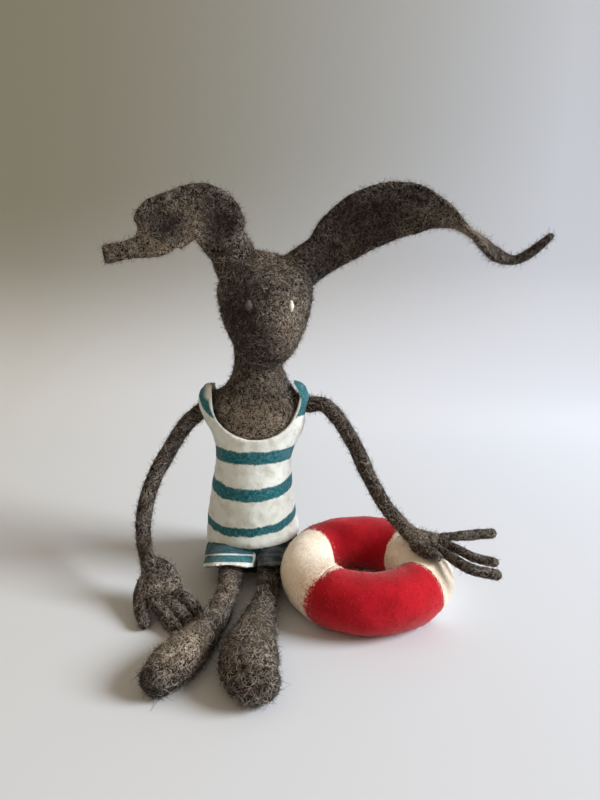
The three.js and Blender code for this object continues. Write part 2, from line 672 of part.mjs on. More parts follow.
// The point of the head's face at an X and a Z
function facePoint(x, z) {
  const form = new THREE.Mesh(geometryOf(headForm), new THREE.MeshBasicMaterial());
  return new THREE.Raycaster(vec(x, -200, z), vec(0, 1, 0)).intersectObject(form)[0].point;
}
const eyeMiddles = {
  right: facePoint(EYE_MIDDLE - EYE_SPACING / 2, EYE_HEIGHT + 0.6),
  left: facePoint(EYE_MIDDLE + EYE_SPACING / 2, EYE_HEIGHT - 0.4),
};
for (const side of SIDES) eyeMiddles[side].y += EYE_SINKS_IN;
const eyeForm = (side, grow) =>
  solidOf(
    new THREE.SphereGeometry(1, 8, 6)
      .scale(EYE_RADIUS + grow, EYE_RADIUS + grow, EYE_RADIUS * 1.5 + grow)
      .translate(...eyeMiddles[side]),
  );

const earRoots = SIDES.map((side) => ears[side].path.at(0).point);
const neckSocket = rod(
  neckHead.clone().addScaledVector(UP, -40),
  neckHead.clone().addScaledVector(UP, TURN_GAP),
  NECK_RADIUS + TURN_GAP,
  HEAD_SIDES,
);
const earBarMiddle = neckHead.clone().addScaledVector(UP, EAR_BAR_ABOVE_NECK);
const headWire = (radius, reach) =>
  joined(
    rod(neckHead.clone().addScaledVector(UP, 2 * TURN_GAP - reach), earBarMiddle, radius, 6),
    ...earRoots.map((root) => {
      const run = root.clone().sub(earBarMiddle);
      run.setLength(run.length() - EAR_BALL - GAP + reach);
      return rod(earBarMiddle, earBarMiddle.clone().add(run), radius, 6);
    }),
  );
addPiece(
  "head",
  "head",
  cut(
    headForm,
    neckSocket,
    ...earRoots.map((place) => ball(place, EAR_BALL + GAP)),
    ...SIDES.map((side) => eyeForm(side, GAP)),
    headWire(LIMB_WIRE_RADIUS + GAP, CHANNEL_RUNS_ON),
  ),
  wool,
);
addPiece("head", "armature_head", headWire(LIMB_WIRE_RADIUS, -WIRE_STOPS_SHORT), wire);
for (const side of SIDES) addPiece("head", `eye_${side}`, eyeForm(side, 0), eyeFelt);

// A limb of one or two stretches, carried by a body: each stretch is a body with its felt and its wire.
function addLimb({ path, bends, names }, carrier, { wireRadius, sides, carriesHand }) {
  return names.map((name, i) => {
    const isLast = i === names.length - 1;
    const endsFree = isLast && !carriesHand;
    const to = isLast ? path.last : bends[i + 1];
    const stretch = limbStretch(path, bends[i], to, { sides, wireRadius, endsFree });
    addBody(name, stretch.pivot, i ? names[i - 1] : carrier);
    addPiece(name, name, stretch.felt, wool);
    addPiece(name, `armature_${name}`, stretch.wire, wire);
    return stretch;
  });
}

for (const side of SIDES) {
  addLimb(ears[side], "head", { wireRadius: LIMB_WIRE_RADIUS, sides: 10 });
  addLimb(arms[side], "torso", { wireRadius: LIMB_WIRE_RADIUS, sides: 8, carriesHand: true });

  // Each thigh wears a short leg of the suit, whose ball end turns in the suit's dish
  const leg = legs[side];
  const [thigh] = addLimb(leg, "torso", { wireRadius: BODY_WIRE_RADIUS, sides: 8 });
  const tube = felted(leg.suit, { sides: 12, flatEnd: true });
  const room = felted(leg.suit, { sides: 12, flatEnd: true, grow: -SUIT_LEG_THICK });
  const hemFrame = leg.suit.at(leg.suit.last);
  const mouthOfLeg = rod(
    hemFrame.point,
    hemFrame.point.clone().addScaledVector(hemFrame.direction, 3),
    hemFrame.deep - SUIT_LEG_THICK,
    10,
  );
  const thighRoom = felted(leg.path, { to: 2, flatEnd: true, grow: GAP });
  addPiece(
    leg.names[0],
    `suit_leg_${side}`,
    cut(tube, room, mouthOfLeg, thighRoom, thigh.channel, surfaceBlock),
    creamFelt,
  );

  // Hand: a palm on the wrist, dished for the digits' balls
  const palmName = `palm_${side}`;
  const palmPath = palms[side];
  addBody(palmName, wrist[side], `forearm_${side}`);
  const digitPaths = Object.entries(digits[side]);
  const knuckles = digitPaths.map(([, path]) => ball(path.at(0).point, path.at(0).wide + GAP, 8, 6));
  const palmWires = (radius, reach) =>
    joined(
      ...digitPaths.map(([, path]) => {
        const run = path.at(0).point.clone().sub(wrist[side]);
        run.setLength(run.length() - path.at(0).wide - GAP + reach);
        return rod(wrist[side], wrist[side].clone().add(run), radius, 4);
      }),
    );
  const wristFrame = palmPath.at(0);
  const mouth = rod(
    wristFrame.point.clone().addScaledVector(wristFrame.direction, -WRIST_RADIUS - 1),
    wristFrame.point.clone().addScaledVector(wristFrame.direction, 2),
    DIGIT_WIRE_RADIUS + 3 * GAP,
    6,
  );
  const palmWhole = felted(palmPath, { sides: 8 });
  const palmChannels = palmWires(DIGIT_WIRE_RADIUS + GAP, CHANNEL_RUNS_ON);
  addPiece(palmName, palmName, cut(palmWhole, ...knuckles, mouth, palmChannels, surfaceBlock), wool);
  addPiece(palmName, `armature_${palmName}`, palmWires(DIGIT_WIRE_RADIUS, -WIRE_STOPS_SHORT), wire);
  for (const [name, path] of digitPaths) {
    const digit = { path, bends: [0], names: [`${name}_${side}`] };
    addLimb(digit, palmName, { wireRadius: DIGIT_WIRE_RADIUS, sides: 6 });
  }
}

// Lifebuoy: a stuffed ring of four felt stretches, red and white in turn

const buoyCentre = vec(BUOY_X, BUOY_Y, 0);
addBody("lifebuoy", buoyCentre, "torso");
const buoyMiddleRadius = BUOY_RADIUS - BUOY_TUBE_RADIUS;
const tubeCorner = BUOY_TUBE_RADIUS / Math.cos(Math.PI / BUOY_TUBE_SIDES);
const buoyStretches = [
  { name: "lifebuoy_red_front", from: -132, to: -40, felt: redFelt },
  { name: "lifebuoy_white_left", from: -40, to: 36, felt: creamFelt },
  { name: "lifebuoy_red_back", from: 36, to: 146, felt: redFelt },
  { name: "lifebuoy_white_right", from: 146, to: 228, felt: creamFelt },
];
for (const { name, from, to, felt } of buoyStretches) {
  const halfGap = THREE.MathUtils.radToDeg(GAP / 2 / (buoyMiddleRadius - BUOY_TUBE_RADIUS));
  const steps = Math.round(((to - from) / 360) * BUOY_RING_SIDES);
  const rings = Array.from({ length: steps + 1 }, (_, i) => {
    const turn = THREE.MathUtils.degToRad(from + halfGap + ((to - from - 2 * halfGap) * i) / steps);
    return Array.from({ length: BUOY_TUBE_SIDES }, (_, side) => {
      const angle = (2 * Math.PI * (side + 0.5)) / BUOY_TUBE_SIDES;
      const reach = buoyMiddleRadius - tubeCorner * Math.cos(angle);
      const height = BUOY_TUBE_RADIUS - FLOOR_PRESS + tubeCorner * Math.sin(angle);
      return vec(reach * Math.cos(turn), reach * Math.sin(turn), height).add(buoyCentre);
    });
  });
  const middleOf = (ring) =>
    ring.reduce((sum, point) => sum.add(point), vec(0, 0, 0)).divideScalar(ring.length);
  const stretch = solidOf(skinned(rings, middleOf(rings[0]), middleOf(rings[steps])));
  addPiece("lifebuoy", name, cut(stretch, surfaceBlock), felt);
}

// The origin goes under the middle of the whole part
doll.updateMatrixWorld(true);
const box = new THREE.Box3().setFromObject(doll, true);
doll.position.set(-(box.min.x + box.max.x) / 2, -(box.min.y + box.max.y) / 2, -box.min.z);

export default doll;
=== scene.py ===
"""Looks of a needle-felted rabbit doll in a striped bathing suit, one hand on a felt lifebuoy."""

import json
import math

import bmesh
import bpy
import numpy as np
from bpy.props import FloatProperty, FloatVectorProperty, PointerProperty
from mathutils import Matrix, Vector, noise


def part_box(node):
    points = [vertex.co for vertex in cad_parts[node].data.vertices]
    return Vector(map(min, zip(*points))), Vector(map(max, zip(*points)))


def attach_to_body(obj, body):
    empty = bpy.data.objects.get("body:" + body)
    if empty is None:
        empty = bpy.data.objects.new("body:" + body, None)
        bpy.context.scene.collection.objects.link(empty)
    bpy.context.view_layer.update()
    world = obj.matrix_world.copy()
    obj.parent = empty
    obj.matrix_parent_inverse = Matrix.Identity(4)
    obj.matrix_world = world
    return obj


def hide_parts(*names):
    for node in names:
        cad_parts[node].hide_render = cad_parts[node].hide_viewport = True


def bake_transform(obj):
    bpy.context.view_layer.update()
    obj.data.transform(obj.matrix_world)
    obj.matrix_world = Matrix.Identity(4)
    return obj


bl_info = {
    "name": "Felt rabbit doll",
    "version": (1, 0, 0),
    "blender": (4, 5, 0),
    "location": "View3D > Sidebar > Felt doll",
    "description": "Makes a needle-felted rabbit doll with its bathing suit and lifebuoy",
    "category": "Object",
}

MM = 0.001
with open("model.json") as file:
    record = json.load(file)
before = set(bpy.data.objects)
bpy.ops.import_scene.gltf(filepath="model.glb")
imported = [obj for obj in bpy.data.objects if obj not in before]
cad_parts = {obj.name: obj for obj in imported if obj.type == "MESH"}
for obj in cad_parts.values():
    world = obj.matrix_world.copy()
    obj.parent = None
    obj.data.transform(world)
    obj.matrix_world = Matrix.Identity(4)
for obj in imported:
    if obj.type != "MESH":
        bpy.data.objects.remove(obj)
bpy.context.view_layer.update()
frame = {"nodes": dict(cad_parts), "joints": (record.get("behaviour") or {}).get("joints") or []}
HINGES = [joint for joint in frame["joints"] if joint["type"] == "hinge"]
JOINTS = {joint["name"]: Vector(joint["pos_m"]) for joint in HINGES}

# Places are written in millimetres from the point of the surface under the doll's seat. The neck's joint
# says where that point is in the frame.
NECK_FOOT = (2.8, 3, 120)
SEAT = JOINTS["neck_bend"] - Vector(NECK_FOOT) * MM


def from_joint(name):
    """A joint's place, in millimetres from the seat."""
    return tuple((JOINTS[name] - SEAT) / MM)


def place(x, y, z):
    """A point of the frame, in metres, from millimetres at the seat."""
    return SEAT + Vector((x, y, z)) * MM


# Felted forms. A station is [x, y, z, half width, half depth, across, cup]: the width lies along across,
# and cup lifts the section's two edges towards its depth direction.

SIDES = ("right", "left")
SHOULDER = {side: from_joint(f"shoulder_{side}") for side in SIDES}
WRIST = {side: from_joint(f"wrist_{side}") for side in SIDES}
HIP = {side: from_joint(f"hip_{side}") for side in SIDES}
SUIT_THICK = 2.8

BODY = [
    [-1.4, 2.6, 3.1, 25, 20],
    [-1.2, 2.6, 16, 28.5, 23],
    [-1.6, 2.2, 34, 25, 21],
    [-1.6, 1.6, 53, 22.4, 19],
    [-0.8, 1.4, 72, 20, 17],
    [0.6, 1.6, 89, 25, 16.6],
    [1.8, 2, 100, 27.8, 16.5],
    [2, 2.4, 107, 29, 15.5],
    [2.4, 2.8, 112, 25, 14.5],
    [2.6, 3, 115, 20, 13.5],
]
NECK = [
    [2.4, 2.6, 104, 27, 14.5],
    [2.6, 2.8, 111, 24, 14.5],
    [2.8, 3, 118, 19, 14.2],
    [2.9, 3.1, 125, 15.6, 14],
    [2.9, 3.2, 133, 14.2, 13.8],
    [3, 3.5, 143, 14, 13.8],
    [3, 3.5, 157, 13.6, 13.4],
]
HEAD = [
    [6, -6, 141.5, 15, 14.5],
    [7.2, -9, 146.5, 19.2, 19],
    [7.8, -9.5, 152.5, 22.4, 23.2],
    [7.9, -7.5, 160, 24.8, 24.8],
    [8, -4.5, 168, 26.8, 24.6],
    [7.8, -1, 175, 27.4, 22.8],
    [7.4, 3, 182.5, 24, 19],
    [8.6, 4.4, 188.4, 14.5, 12.5],
]
EARS = {
    "right": [
        [-8.4, 4, 187, 13, 11, [0.96, 0, 0.25]],
        [-11, 4.4, 195, 12.6, 9.5, [0.95, 0, 0.3]],
        [-16.2, 2.6, 203, 13.2, 5.2, [0.92, 0, 0.39]],
        [-18.2, 0.4, 209.6, 15.8, 2.8, [0.86, 0, 0.5], -1.2],
        [-20.4, -3, 216.2, 14.4, 2.2, [0.7, 0, 0.71], -1.6],
        [*from_joint("ear_fold_right"), 14.4, 2, [0.38, 0, 0.92]],
        [-39, -7, 214.4, 14.8, 2, [0.06, -0.1, 1], -2],
        [-49.1, -8, 209, 15.4, 2, [-0.5, -0.1, 1], -2],
        [-53.8, -8.6, 203, 11.6, 2, [-0.6, 0, 1], -1],
        [-60, -9, 199, 7, 2, [-0.5, 0, 1]],
        [-67.5, -9, 197, 5.2, 2, [-0.2, 0, 1]],
        [-80, -9, 194.6, 5.4, 1.8, [0.1, 0.2, 1]],
    ],
    "left": [
        [23, 4.5, 181.5, 12.4, 11, [-0.66, 0, 0.75]],
        [31.6, 5.2, 187.8, 11.6, 8.5, [-0.64, 0, 0.77]],
        [41, 5, 194.4, 11.8, 5, [-0.6, 0, 0.8]],
        [51, 3, 203.4, 15, 3, [-0.55, 0, 0.83], 2],
        [65, 0, 212.8, 16.6, 2.2, [-0.35, 0, 0.94], 3],
        [79.6, -4, 217.6, 15.6, 2, [-0.1, 0, 1], 4],
        [93, -7, 218.6, 13.2, 2, [0.2, -0.2, 0.95], 3],
        [*from_joint("ear_fold_left"), 9, 2, [0.4, -0.6, 0.7], 1],
        [116, -10, 209.8, 8, 2, [0.4, -0.8, -0.2]],
        [127.4, -10, 201.6, 7.8, 2, [0.4, -0.6, -0.6]],
        [137.6, -9, 194.4, 5, 2, [0.3, -0.4, -0.8]],
        [146.8, -8.4, 191.2, 2.8, 2, [0.1, -0.4, -0.9]],
        [156.4, -8, 195.2, 2.8, 2, [0, -0.4, -0.9]],
        [167, -8, 204.4, 1.9, 1.7, [0, -0.4, -0.9]],
    ],
}
ARMS = {
    "right": [
        [*SHOULDER["right"], 5, 5],
        [-41, -3, 94, 4.7, 4.7],
        [-49.5, -8, 81.5, 4.7, 4.7],
        [-57.5, -14, 68, 4.7, 4.7],
        [-62.4, -21, 55.5, 4.7, 4.7],
        [-64, -29, 44, 4.7, 4.7],
        [-62.6, -38, 34.5, 4.5, 4.5],
        [*WRIST["right"], 4.2, 4.2],
    ],
    "left": [
        [*SHOULDER["left"], 5, 5],
        [41.5, 0, 105.5, 4.7, 4.7],
        [48.5, -3, 100, 4.7, 4.7],
        [55.4, -6, 91.5, 4.5, 4.5],
        [62.4, -10, 79.5, 4.4, 4.4],
        [68.6, -14.5, 66.5, 4.4, 4.4],
        [75.2, -19, 54.5, 4.4, 4.4],
        [82, -24, 44.8, 4.3, 4.3],
        [*WRIST["left"], 4.2, 4.2],
    ],
}
PALMS = {
    "right": [
        [*WRIST["right"], 4.4, 4.4],
        [-54.5, -47.5, 19.5, 9.5, 4.8, [1, 0.1, -0.1]],
        [-50.5, -52, 14.4, 11, 4.6, [1, 0.2, -0.05]],
        [-47, -56.4, 10.8, 10.4, 4, [1, 0.25, 0]],
    ],
    "left": [
        [*WRIST["left"], 4.3, 4.2, [0.6, 0.8, 0]],
        [93, -36.2, 37, 6.8, 4.1, [0.55, 0.83, 0]],
        [98.6, -41, 36.5, 8.6, 4, [0.5, 0.86, 0]],
        [104, -43.6, 36.6, 8.2, 3.4, [0.45, 0.9, 0]],
    ],
}
DIGITS = {
    "thumb_right": [
        [-60.2, -51.2, 15.4, 3.8, 3.8],
        [-61.2, -58, 9, 4.1, 4.1],
        [-58.2, -66.6, 4.9, 4, 4],
        [-55.6, -73, 3.9, 3.3, 3.3],
    ],
    "first_finger_right": [
        [-52.4, -61.4, 8.6, 3.7, 3.7],
        [-47.4, -66.6, 6.6, 4, 4],
        [-41.4, -74, 4.6, 4, 4],
        [-37.6, -78.4, 3.9, 3.4, 3.4],
    ],
    "middle_finger_right": [
        [-45.8, -60.2, 9.6, 3.6, 3.6],
        [-40.6, -65.4, 7.8, 3.9, 3.9],
        [-34.8, -70.4, 5.6, 3.9, 3.9],
        [-31.4, -74.2, 4.2, 3.3, 3.3],
    ],
    "last_finger_right": [
        [-40.8, -57.4, 10.6, 3.6, 3.6],
        [-35, -60.4, 9.2, 4, 4],
        [-30.8, -63.6, 7, 3.9, 3.9],
        [-28.2, -66.4, 4.9, 3.3, 3.3],
    ],
    "thumb_left": [
        [93.4, -48.2, 36.2, 3.8, 3.6],
        [97, -53.2, 36.1, 4, 3.7],
        [101, -57.6, 36, 3.3, 3.2],
        [103.2, -60, 35.8, 2.3, 2.3],
    ],
    "first_finger_left": [
        [108.6, -40.2, 37, 2.4, 2.4],
        [115, -40, 37.6, 2.4, 2.4],
        [126, -39.6, 38.2, 3, 3],
        [139, -37.2, 38.2, 2.8, 2.8],
    ],
    "middle_finger_left": [
        [108.6, -46.4, 36.6, 2.8, 2.8],
        [115, -50.6, 35.8, 2.7, 2.7],
        [124, -56.4, 33.4, 2.6, 2.6],
        [134.6, -58, 31.4, 2.5, 2.5],
    ],
    "last_finger_left": [
        [104, -51, 36.2, 2.8, 2.8],
        [109.4, -58, 35.4, 2.9, 2.9],
        [118.6, -66.2, 32.6, 3, 3],
        [133, -67.4, 29.4, 2.9, 2.9],
    ],
}
LEGS = {
    "right": [
        [*HIP["right"], 6.4, 6.4],
        [-12.8, -45, 10.6, 6.3, 6.3],
        [-13.6, -60, 9.8, 6.3, 6.3],
        [-16.8, -75, 9, 6.8, 6.8],
        [-22.6, -92, 8.2, 8.8, 8.6],
        [-29, -107, 9.4, 10.4, 9.8],
        [-35, -117.4, 9, 9.8, 9.2],
        [-37.4, -121, 8.4, 8.6, 8.2],
    ],
    "left": [
        [*HIP["left"], 6.4, 6.4],
        [9.6, -45, 10.2, 6, 6],
        [9, -60, 9.8, 6.3, 6.3],
        [6.8, -77, 9.6, 8.6, 7.8],
        [4.4, -95, 10, 11.8, 9.8],
        [3.6, -110, 11, 14, 11],
        [5.4, -121, 11.4, 13.4, 11.4],
        [9, -127.4, 10.8, 10.4, 10],
    ],
}
SUIT = [
    [-1.4, 2.6, 3.1, 28, 23],
    [-2, 2.6, 16, 29.6, 25.2],
    [-2.6, 2.2, 34, 28, 24.2],
    [-2.2, 1.6, 53, 25.2, 22],
    [-1, 1.4, 70, 23.4, 20.4],
    [0, 1.4, 80, 24.8, 20.2],
    [0.8, 1.8, 92, 29.6, 19.8],
    [0.4, 2.2, 101, 32.4, 19],
    [0, 2.6, 108, 34, 17.5],
    [0.4, 2.8, 112.4, 31.5, 15],
]
SUIT_LEGS = {
    "right": [
        [-14.2, -8, 12.6, 17.2, 10],
        [-14.6, -26, 12, 16, 9],
        [-14.4, -50, 12, 15.2, 9.4],
    ],
    "left": [
        [12.6, -8, 11, 13, 8.4],
        [13.4, -26, 11.8, 12, 8.8],
        [13.4, -50, 11.6, 11.6, 9.4],
    ],
}
# The hem of a suit leg slants back under the thigh: its top is this far forward and this high.
HEM_AHEAD = -43.0
HEM_HEIGHT = 21.0
HEM_SLANT = 1.5
# A height of the belly's lower edge is stored as its share of this.
EDGE_SCALE = 40.0
# The neckline's middle, half its width and its lowest point.
NECKLINE = (1.2, 25.5, 88.0)
NECKLINE_BACK = 97
NECKLINE_TOP = 111.0
# Each stripe: its height at the sides, its rise in the middle of the front, its tilt and half its width.
STRIPES = (
    (76.2, 1.0, 0.0, 4.1),
    (58.0, -4.2, 0.0, 3.9),
    (34.6, -3.8, 0.07, 2.8),
)
# The heights between which the suit is teal somewhere, where no light hairs stand out.
TEAL_HEIGHTS = ((71, 82), (48, 63), (26, 42), (98, 116))
BUOY_AT = (66.3, -39.6)
BUOY_MIDDLE_RADIUS = 33.8
BUOY_TUBE_RADIUS = 16.2
# The ring sinks this far into the surface, where its wool is pressed flat.
BUOY_SINK = 0.5
# Degrees round the ring between which its wool is red: the front's start and stop, and the back's.
RED_FRONT = (-127.3, -38.5)
RED_BACK = (43.0, 149.0)

# The rings that round off a form's end stand at these turns from its side.
END_TURNS = np.radians([18, 36, 54, 72, 84])
# Sizes and heights of the soft lumps in the wool.
LUMPS = ((11.0, 0.45), (3.2, 0.16))
# The hairs keep this far off the surface, in millimetres.
HAIR_LOWEST = 0.25

# Where the photograph was taken from, the camera's tilt down and its lens.
CAMERA_AT = (28, -361, 206.6)
CAMERA_TILT = 15.27
CAMERA_LENS = 27.72
CAMERA_SENSOR = 36
# The direction that the window's light comes from, and how wide it is in degrees.
WINDOW = (0.84, -0.14, 0.5)
WINDOW_WIDTH = 27


def unit(vector):
    return vector / np.linalg.norm(vector, axis=-1, keepdims=True)


class FeltPath:
    """A smooth line through stations, which gives a frame and a section anywhere along it."""

    def __init__(self, stations, across=(1, 0, 0)):
        self.points = np.array([station[:3] for station in stations], float)
        sizes = [[*station[3:5], station[6] if len(station) > 6 else 0] for station in stations]
        self.sizes = np.array(sizes, float)
        acrosses = [station[5] if len(station) > 5 else across for station in stations]
        self.acrosses = unit(np.array(acrosses, float))
        self.knots = np.zeros(len(stations))
        spans = np.linalg.norm(np.diff(self.points, axis=0), axis=1)
        self.knots[1:] = np.cumsum(np.sqrt(spans))
        self.spans = spans

    def _tangents(self, values):
        steps = np.diff(values, axis=0) / np.diff(self.knots)[:, None]
        inner = []
        for i in range(1, len(values) - 1):
            wide = (values[i + 1] - values[i - 1]) / (self.knots[i + 1] - self.knots[i - 1])
            inner.append(steps[i - 1] - wide + steps[i])
        return np.array([steps[0], *inner, steps[-1]])

    def _curve(self, values, station):
        """A cubic between two stations that keeps the tangent at each."""
        tangents = self._tangents(values)
        low = min(int(station), len(values) - 2)
        t = station - low
        span = self.knots[low + 1] - self.knots[low]
        h00 = 2 * t**3 - 3 * t**2 + 1
        h10 = t**3 - 2 * t**2 + t
        h01 = -2 * t**3 + 3 * t**2
        h11 = t**3 - t**2
        start = h00 * values[low] + h10 * span * tangents[low]
        return start + h01 * values[low + 1] + h11 * span * tangents[low + 1]

    def at(self, station):
        """The frame at a station number, which may be a fraction."""
        last = len(self.points) - 1
        station = min(max(station, 0), last)
        low = min(int(station), last - 1)
        near = 0.01
        before = self._curve(self.points, max(station - near, 0))
        after = self._curve(self.points, min(station + near, last))
        direction = unit(after - before)
        share = station - low
        across = self.acrosses[low] * (1 - share) + self.acrosses[low + 1] * share
        across = unit(across - np.dot(across, direction) * direction)
        wide, deep, cup = self._curve(self.sizes, station)
        return {
            "point": self._curve(self.points, station),
            "direction": direction,
            "across": across,
            "depth": np.cross(direction, across),
            "wide": wide,
            "deep": deep,
            "cup": cup,
        }

    def places(self, *stations):
        """The points at station numbers."""
        return [tuple(self.at(station)["point"]) for station in stations]

    def frames(self, start, step):
        """Frames about a step apart, in millimetres, from a station number to the end."""
        stop = len(self.points) - 1
        stations = [start]
        while stations[-1] < stop - 1e-6:
            here = stations[-1]
            span = self.spans[min(int(here + 1e-6), len(self.spans) - 1)]
            stations.append(min(here + step / span, stop))
        if len(stations) > 2 and stations[-1] - stations[-2] < 0.02:
            stations.pop(-2)
        return [self.at(station) for station in stations]


def circle_of(sides):
    """The cosines and sines of angles evenly round a circle."""
    angles = np.linspace(0, 2 * math.pi, sides, endpoint=False)
    return np.cos(angles), np.sin(angles)


def ring_in(frame_at, across, lift, ahead):
    """A ring of points in a frame, from their distances across and along its depth."""
    ring = frame_at["point"] + ahead * frame_at["direction"]
    ring = ring + np.outer(across, frame_at["across"])
    return ring + np.outer(lift, frame_at["depth"])


def round_section(frame_at, sides, wide, deep, ahead=0.0):
    """An elliptical ring of points in a frame."""
    cosine, sine = circle_of(sides)
    return ring_in(frame_at, wide * cosine, deep * sine + frame_at["cup"] * cosine**2, ahead)


def ear_section(frame_at, sides, wide, deep, ahead=0.0):
    """A thin ring of points with thick rolled rims, as an ear's edges have."""
    cosine, sine = circle_of(sides)
    flatness = np.clip((wide / deep - 1.5) / 2, 0, 1)
    reach = np.sign(cosine) * np.abs(cosine) ** (1 - 0.2 * flatness)
    half = deep * np.sign(sine) * np.abs(sine) ** (1 - 0.45 * flatness)
    rim = np.exp(-(((np.abs(reach) - 0.86) / 0.12) ** 2))
    half = half * (1 - 0.22 * flatness + 0.5 * flatness * rim)
    return ring_in(frame_at, wide * reach, half + frame_at["cup"] * reach**2, ahead)


def skinned(rings, start_point, end_point):
    """Points and faces of a closed skin over rings of points."""
    sides = len(rings[0])
    points = [point for ring in rings for point in ring] + [start_point, end_point]
    first, last = len(points) - 2, len(points) - 1
    top = (len(rings) - 1) * sides
    faces = []
    for side in range(sides):
        after = (side + 1) % sides
        for ring in range(len(rings) - 1):
            low = ring * sides
            high = low + sides
            faces.append((low + side, low + after, high + after, high + side))
        faces.append((first, after, side))
        faces.append((last, top + side, top + after))
    return np.array(points), faces


def felted(stations, sides=24, start=0, grow=0.0, cap_most=99.0, flat=(False, False),
           section=round_section, step=1.5):
    """A closed felted form along stations, with round ends unless they are flat."""
    frames = FeltPath(stations).frames(start, step)
    for each in frames:
        each["wide"] += grow
        each["deep"] += grow
    rings = [section(each, sides, each["wide"], each["deep"]) for each in frames]
    tips = []
    for each, sense, is_flat in ((frames[0], -1, flat[0]), (frames[-1], 1, flat[1])):
        radius = min(each["wide"], each["deep"], cap_most)
        if is_flat:
            tips.append(each["point"])
            continue
        ends = []
        for turn in END_TURNS:
            drawn_in = radius * (1 - math.cos(turn))
            wide, deep = each["wide"] - drawn_in, each["deep"] - drawn_in
            ends.append(section(each, sides, wide, deep, sense * radius * math.sin(turn)))
        rings = ends[::-1] + rings if sense < 0 else rings + ends
        tips.append(each["point"] + sense * radius * each["direction"])
    return skinned(rings, *tips)


# Meshes


def added(name, data):
    """A new object in the scene for a mesh, a lamp or a camera."""
    thing = bpy.data.objects.new(name, data)
    bpy.context.scene.collection.objects.link(thing)
    return thing


def mesh_object(name, forms):
    """An object of one or more closed forms, given in millimetres at the seat."""
    points, faces = [], []
    for form_points, form_faces in forms:
        start = len(points)
        points.extend(form_points)
        faces.extend(tuple(start + corner for corner in face) for face in form_faces)
    mesh = bpy.data.meshes.new(name)
    mesh.from_pydata([place(*point) for point in points], [], faces)
    mesh.update()
    return added(name, mesh)


def settled(piece):
    """Applies a piece's modifiers to its mesh, which must have something left."""
    bpy.context.view_layer.update()
    evaluated = piece.evaluated_get(bpy.context.evaluated_depsgraph_get())
    mesh = bpy.data.meshes.new_from_object(evaluated)
    piece.modifiers.clear()
    old = piece.data
    piece.data = mesh
    bpy.data.meshes.remove(old)
    if not mesh.vertices:
        raise RuntimeError(f"nothing was left of {piece.name}")


def drop(piece):
    """Removes a helper object and its mesh."""
    mesh = piece.data
    bpy.data.objects.remove(piece)
    bpy.data.meshes.remove(mesh)


def carved(piece, *tools):
    """Cuts closed tools out of a piece."""
    for tool in tools:
        cut = piece.modifiers.new("Cut", "BOOLEAN")
        cut.operation = "DIFFERENCE"
        cut.solver = "MANIFOLD"
        cut.object = tool
    settled(piece)
    for tool in tools:
        drop(tool)


def fused(piece, voxel=0.8, rounds=6):
    """Runs a piece's forms into one skin, as wool is felted together, and rounds its creases."""
    remesh = piece.modifiers.new("Fuse", "REMESH")
    remesh.mode = "VOXEL"
    remesh.voxel_size = voxel * MM
    smooth = piece.modifiers.new("Round", "SMOOTH")
    smooth.factor = 0.5
    smooth.iterations = rounds
    settled(piece)


def arrays_of(piece):
    """A piece's points and normals, in millimetres at the seat."""
    count = len(piece.data.vertices)
    points = np.zeros(count * 3, np.float32)
    normals = np.zeros(count * 3, np.float32)
    piece.data.vertices.foreach_get("co", points)
    piece.data.vertex_normals.foreach_get("vector", normals)
    points = (points.reshape(-1, 3).astype(float) - np.array(SEAT)) / MM
    return points, normals.reshape(-1, 3).astype(float)


def set_points(piece, points):
    """Moves a piece's points, given in millimetres at the seat."""
    moved = (points * MM + np.array(SEAT)).astype(np.float32)
    piece.data.vertices.foreach_set("co", moved.ravel())
    piece.data.update()


def lumped(piece, layers, seed, outward=None):
    """Raises soft lumps over a skin, along its normals or the given outward directions.

    A layer is (size, height) in millimetres.
    """
    points, normals = arrays_of(piece)
    normals = normals if outward is None else outward
    raised = np.zeros(len(points))
    for number, (size, height) in enumerate(layers):
        shift = Vector((seed * 7.31, seed * 3.17 + number * 11.7, number * 5.3))
        values = [noise.noise(Vector(point) / size + shift) for point in points]
        raised += height * np.array(values)
    set_points(piece, points + normals * raised[:, None])


def marked(piece, name, values):
    """Stores a number from 0 to 1 at each point of a piece, for its finish and its hairs to read."""
    layer = piece.data.attributes.new(name, "FLOAT", "POINT")
    layer.data.foreach_set("value", np.clip(values, 0, 1).astype(np.float32))


def tinted(piece, **tints):
    """Marks soft patches of wool: paler wool, painted light and painted shade.

    A patch is (place, reach, strength), and its reach is one number or one for each axis.
    """
    points, _ = arrays_of(piece)
    for name, patches in tints.items():
        amount = np.zeros(len(points))
        for middle, reach, strength in patches:
            away = np.linalg.norm((points - np.array(middle)) / np.array(reach), axis=1)
            amount = np.maximum(amount, strength * np.clip(1.5 - away, 0, 1))
        marked(piece, name, amount)


def rested(piece):
    """Presses a piece flat where it would reach below the surface that it rests on."""
    points, _ = arrays_of(piece)
    points[:, 2] = np.maximum(points[:, 2], 0.0)
    set_points(piece, points)


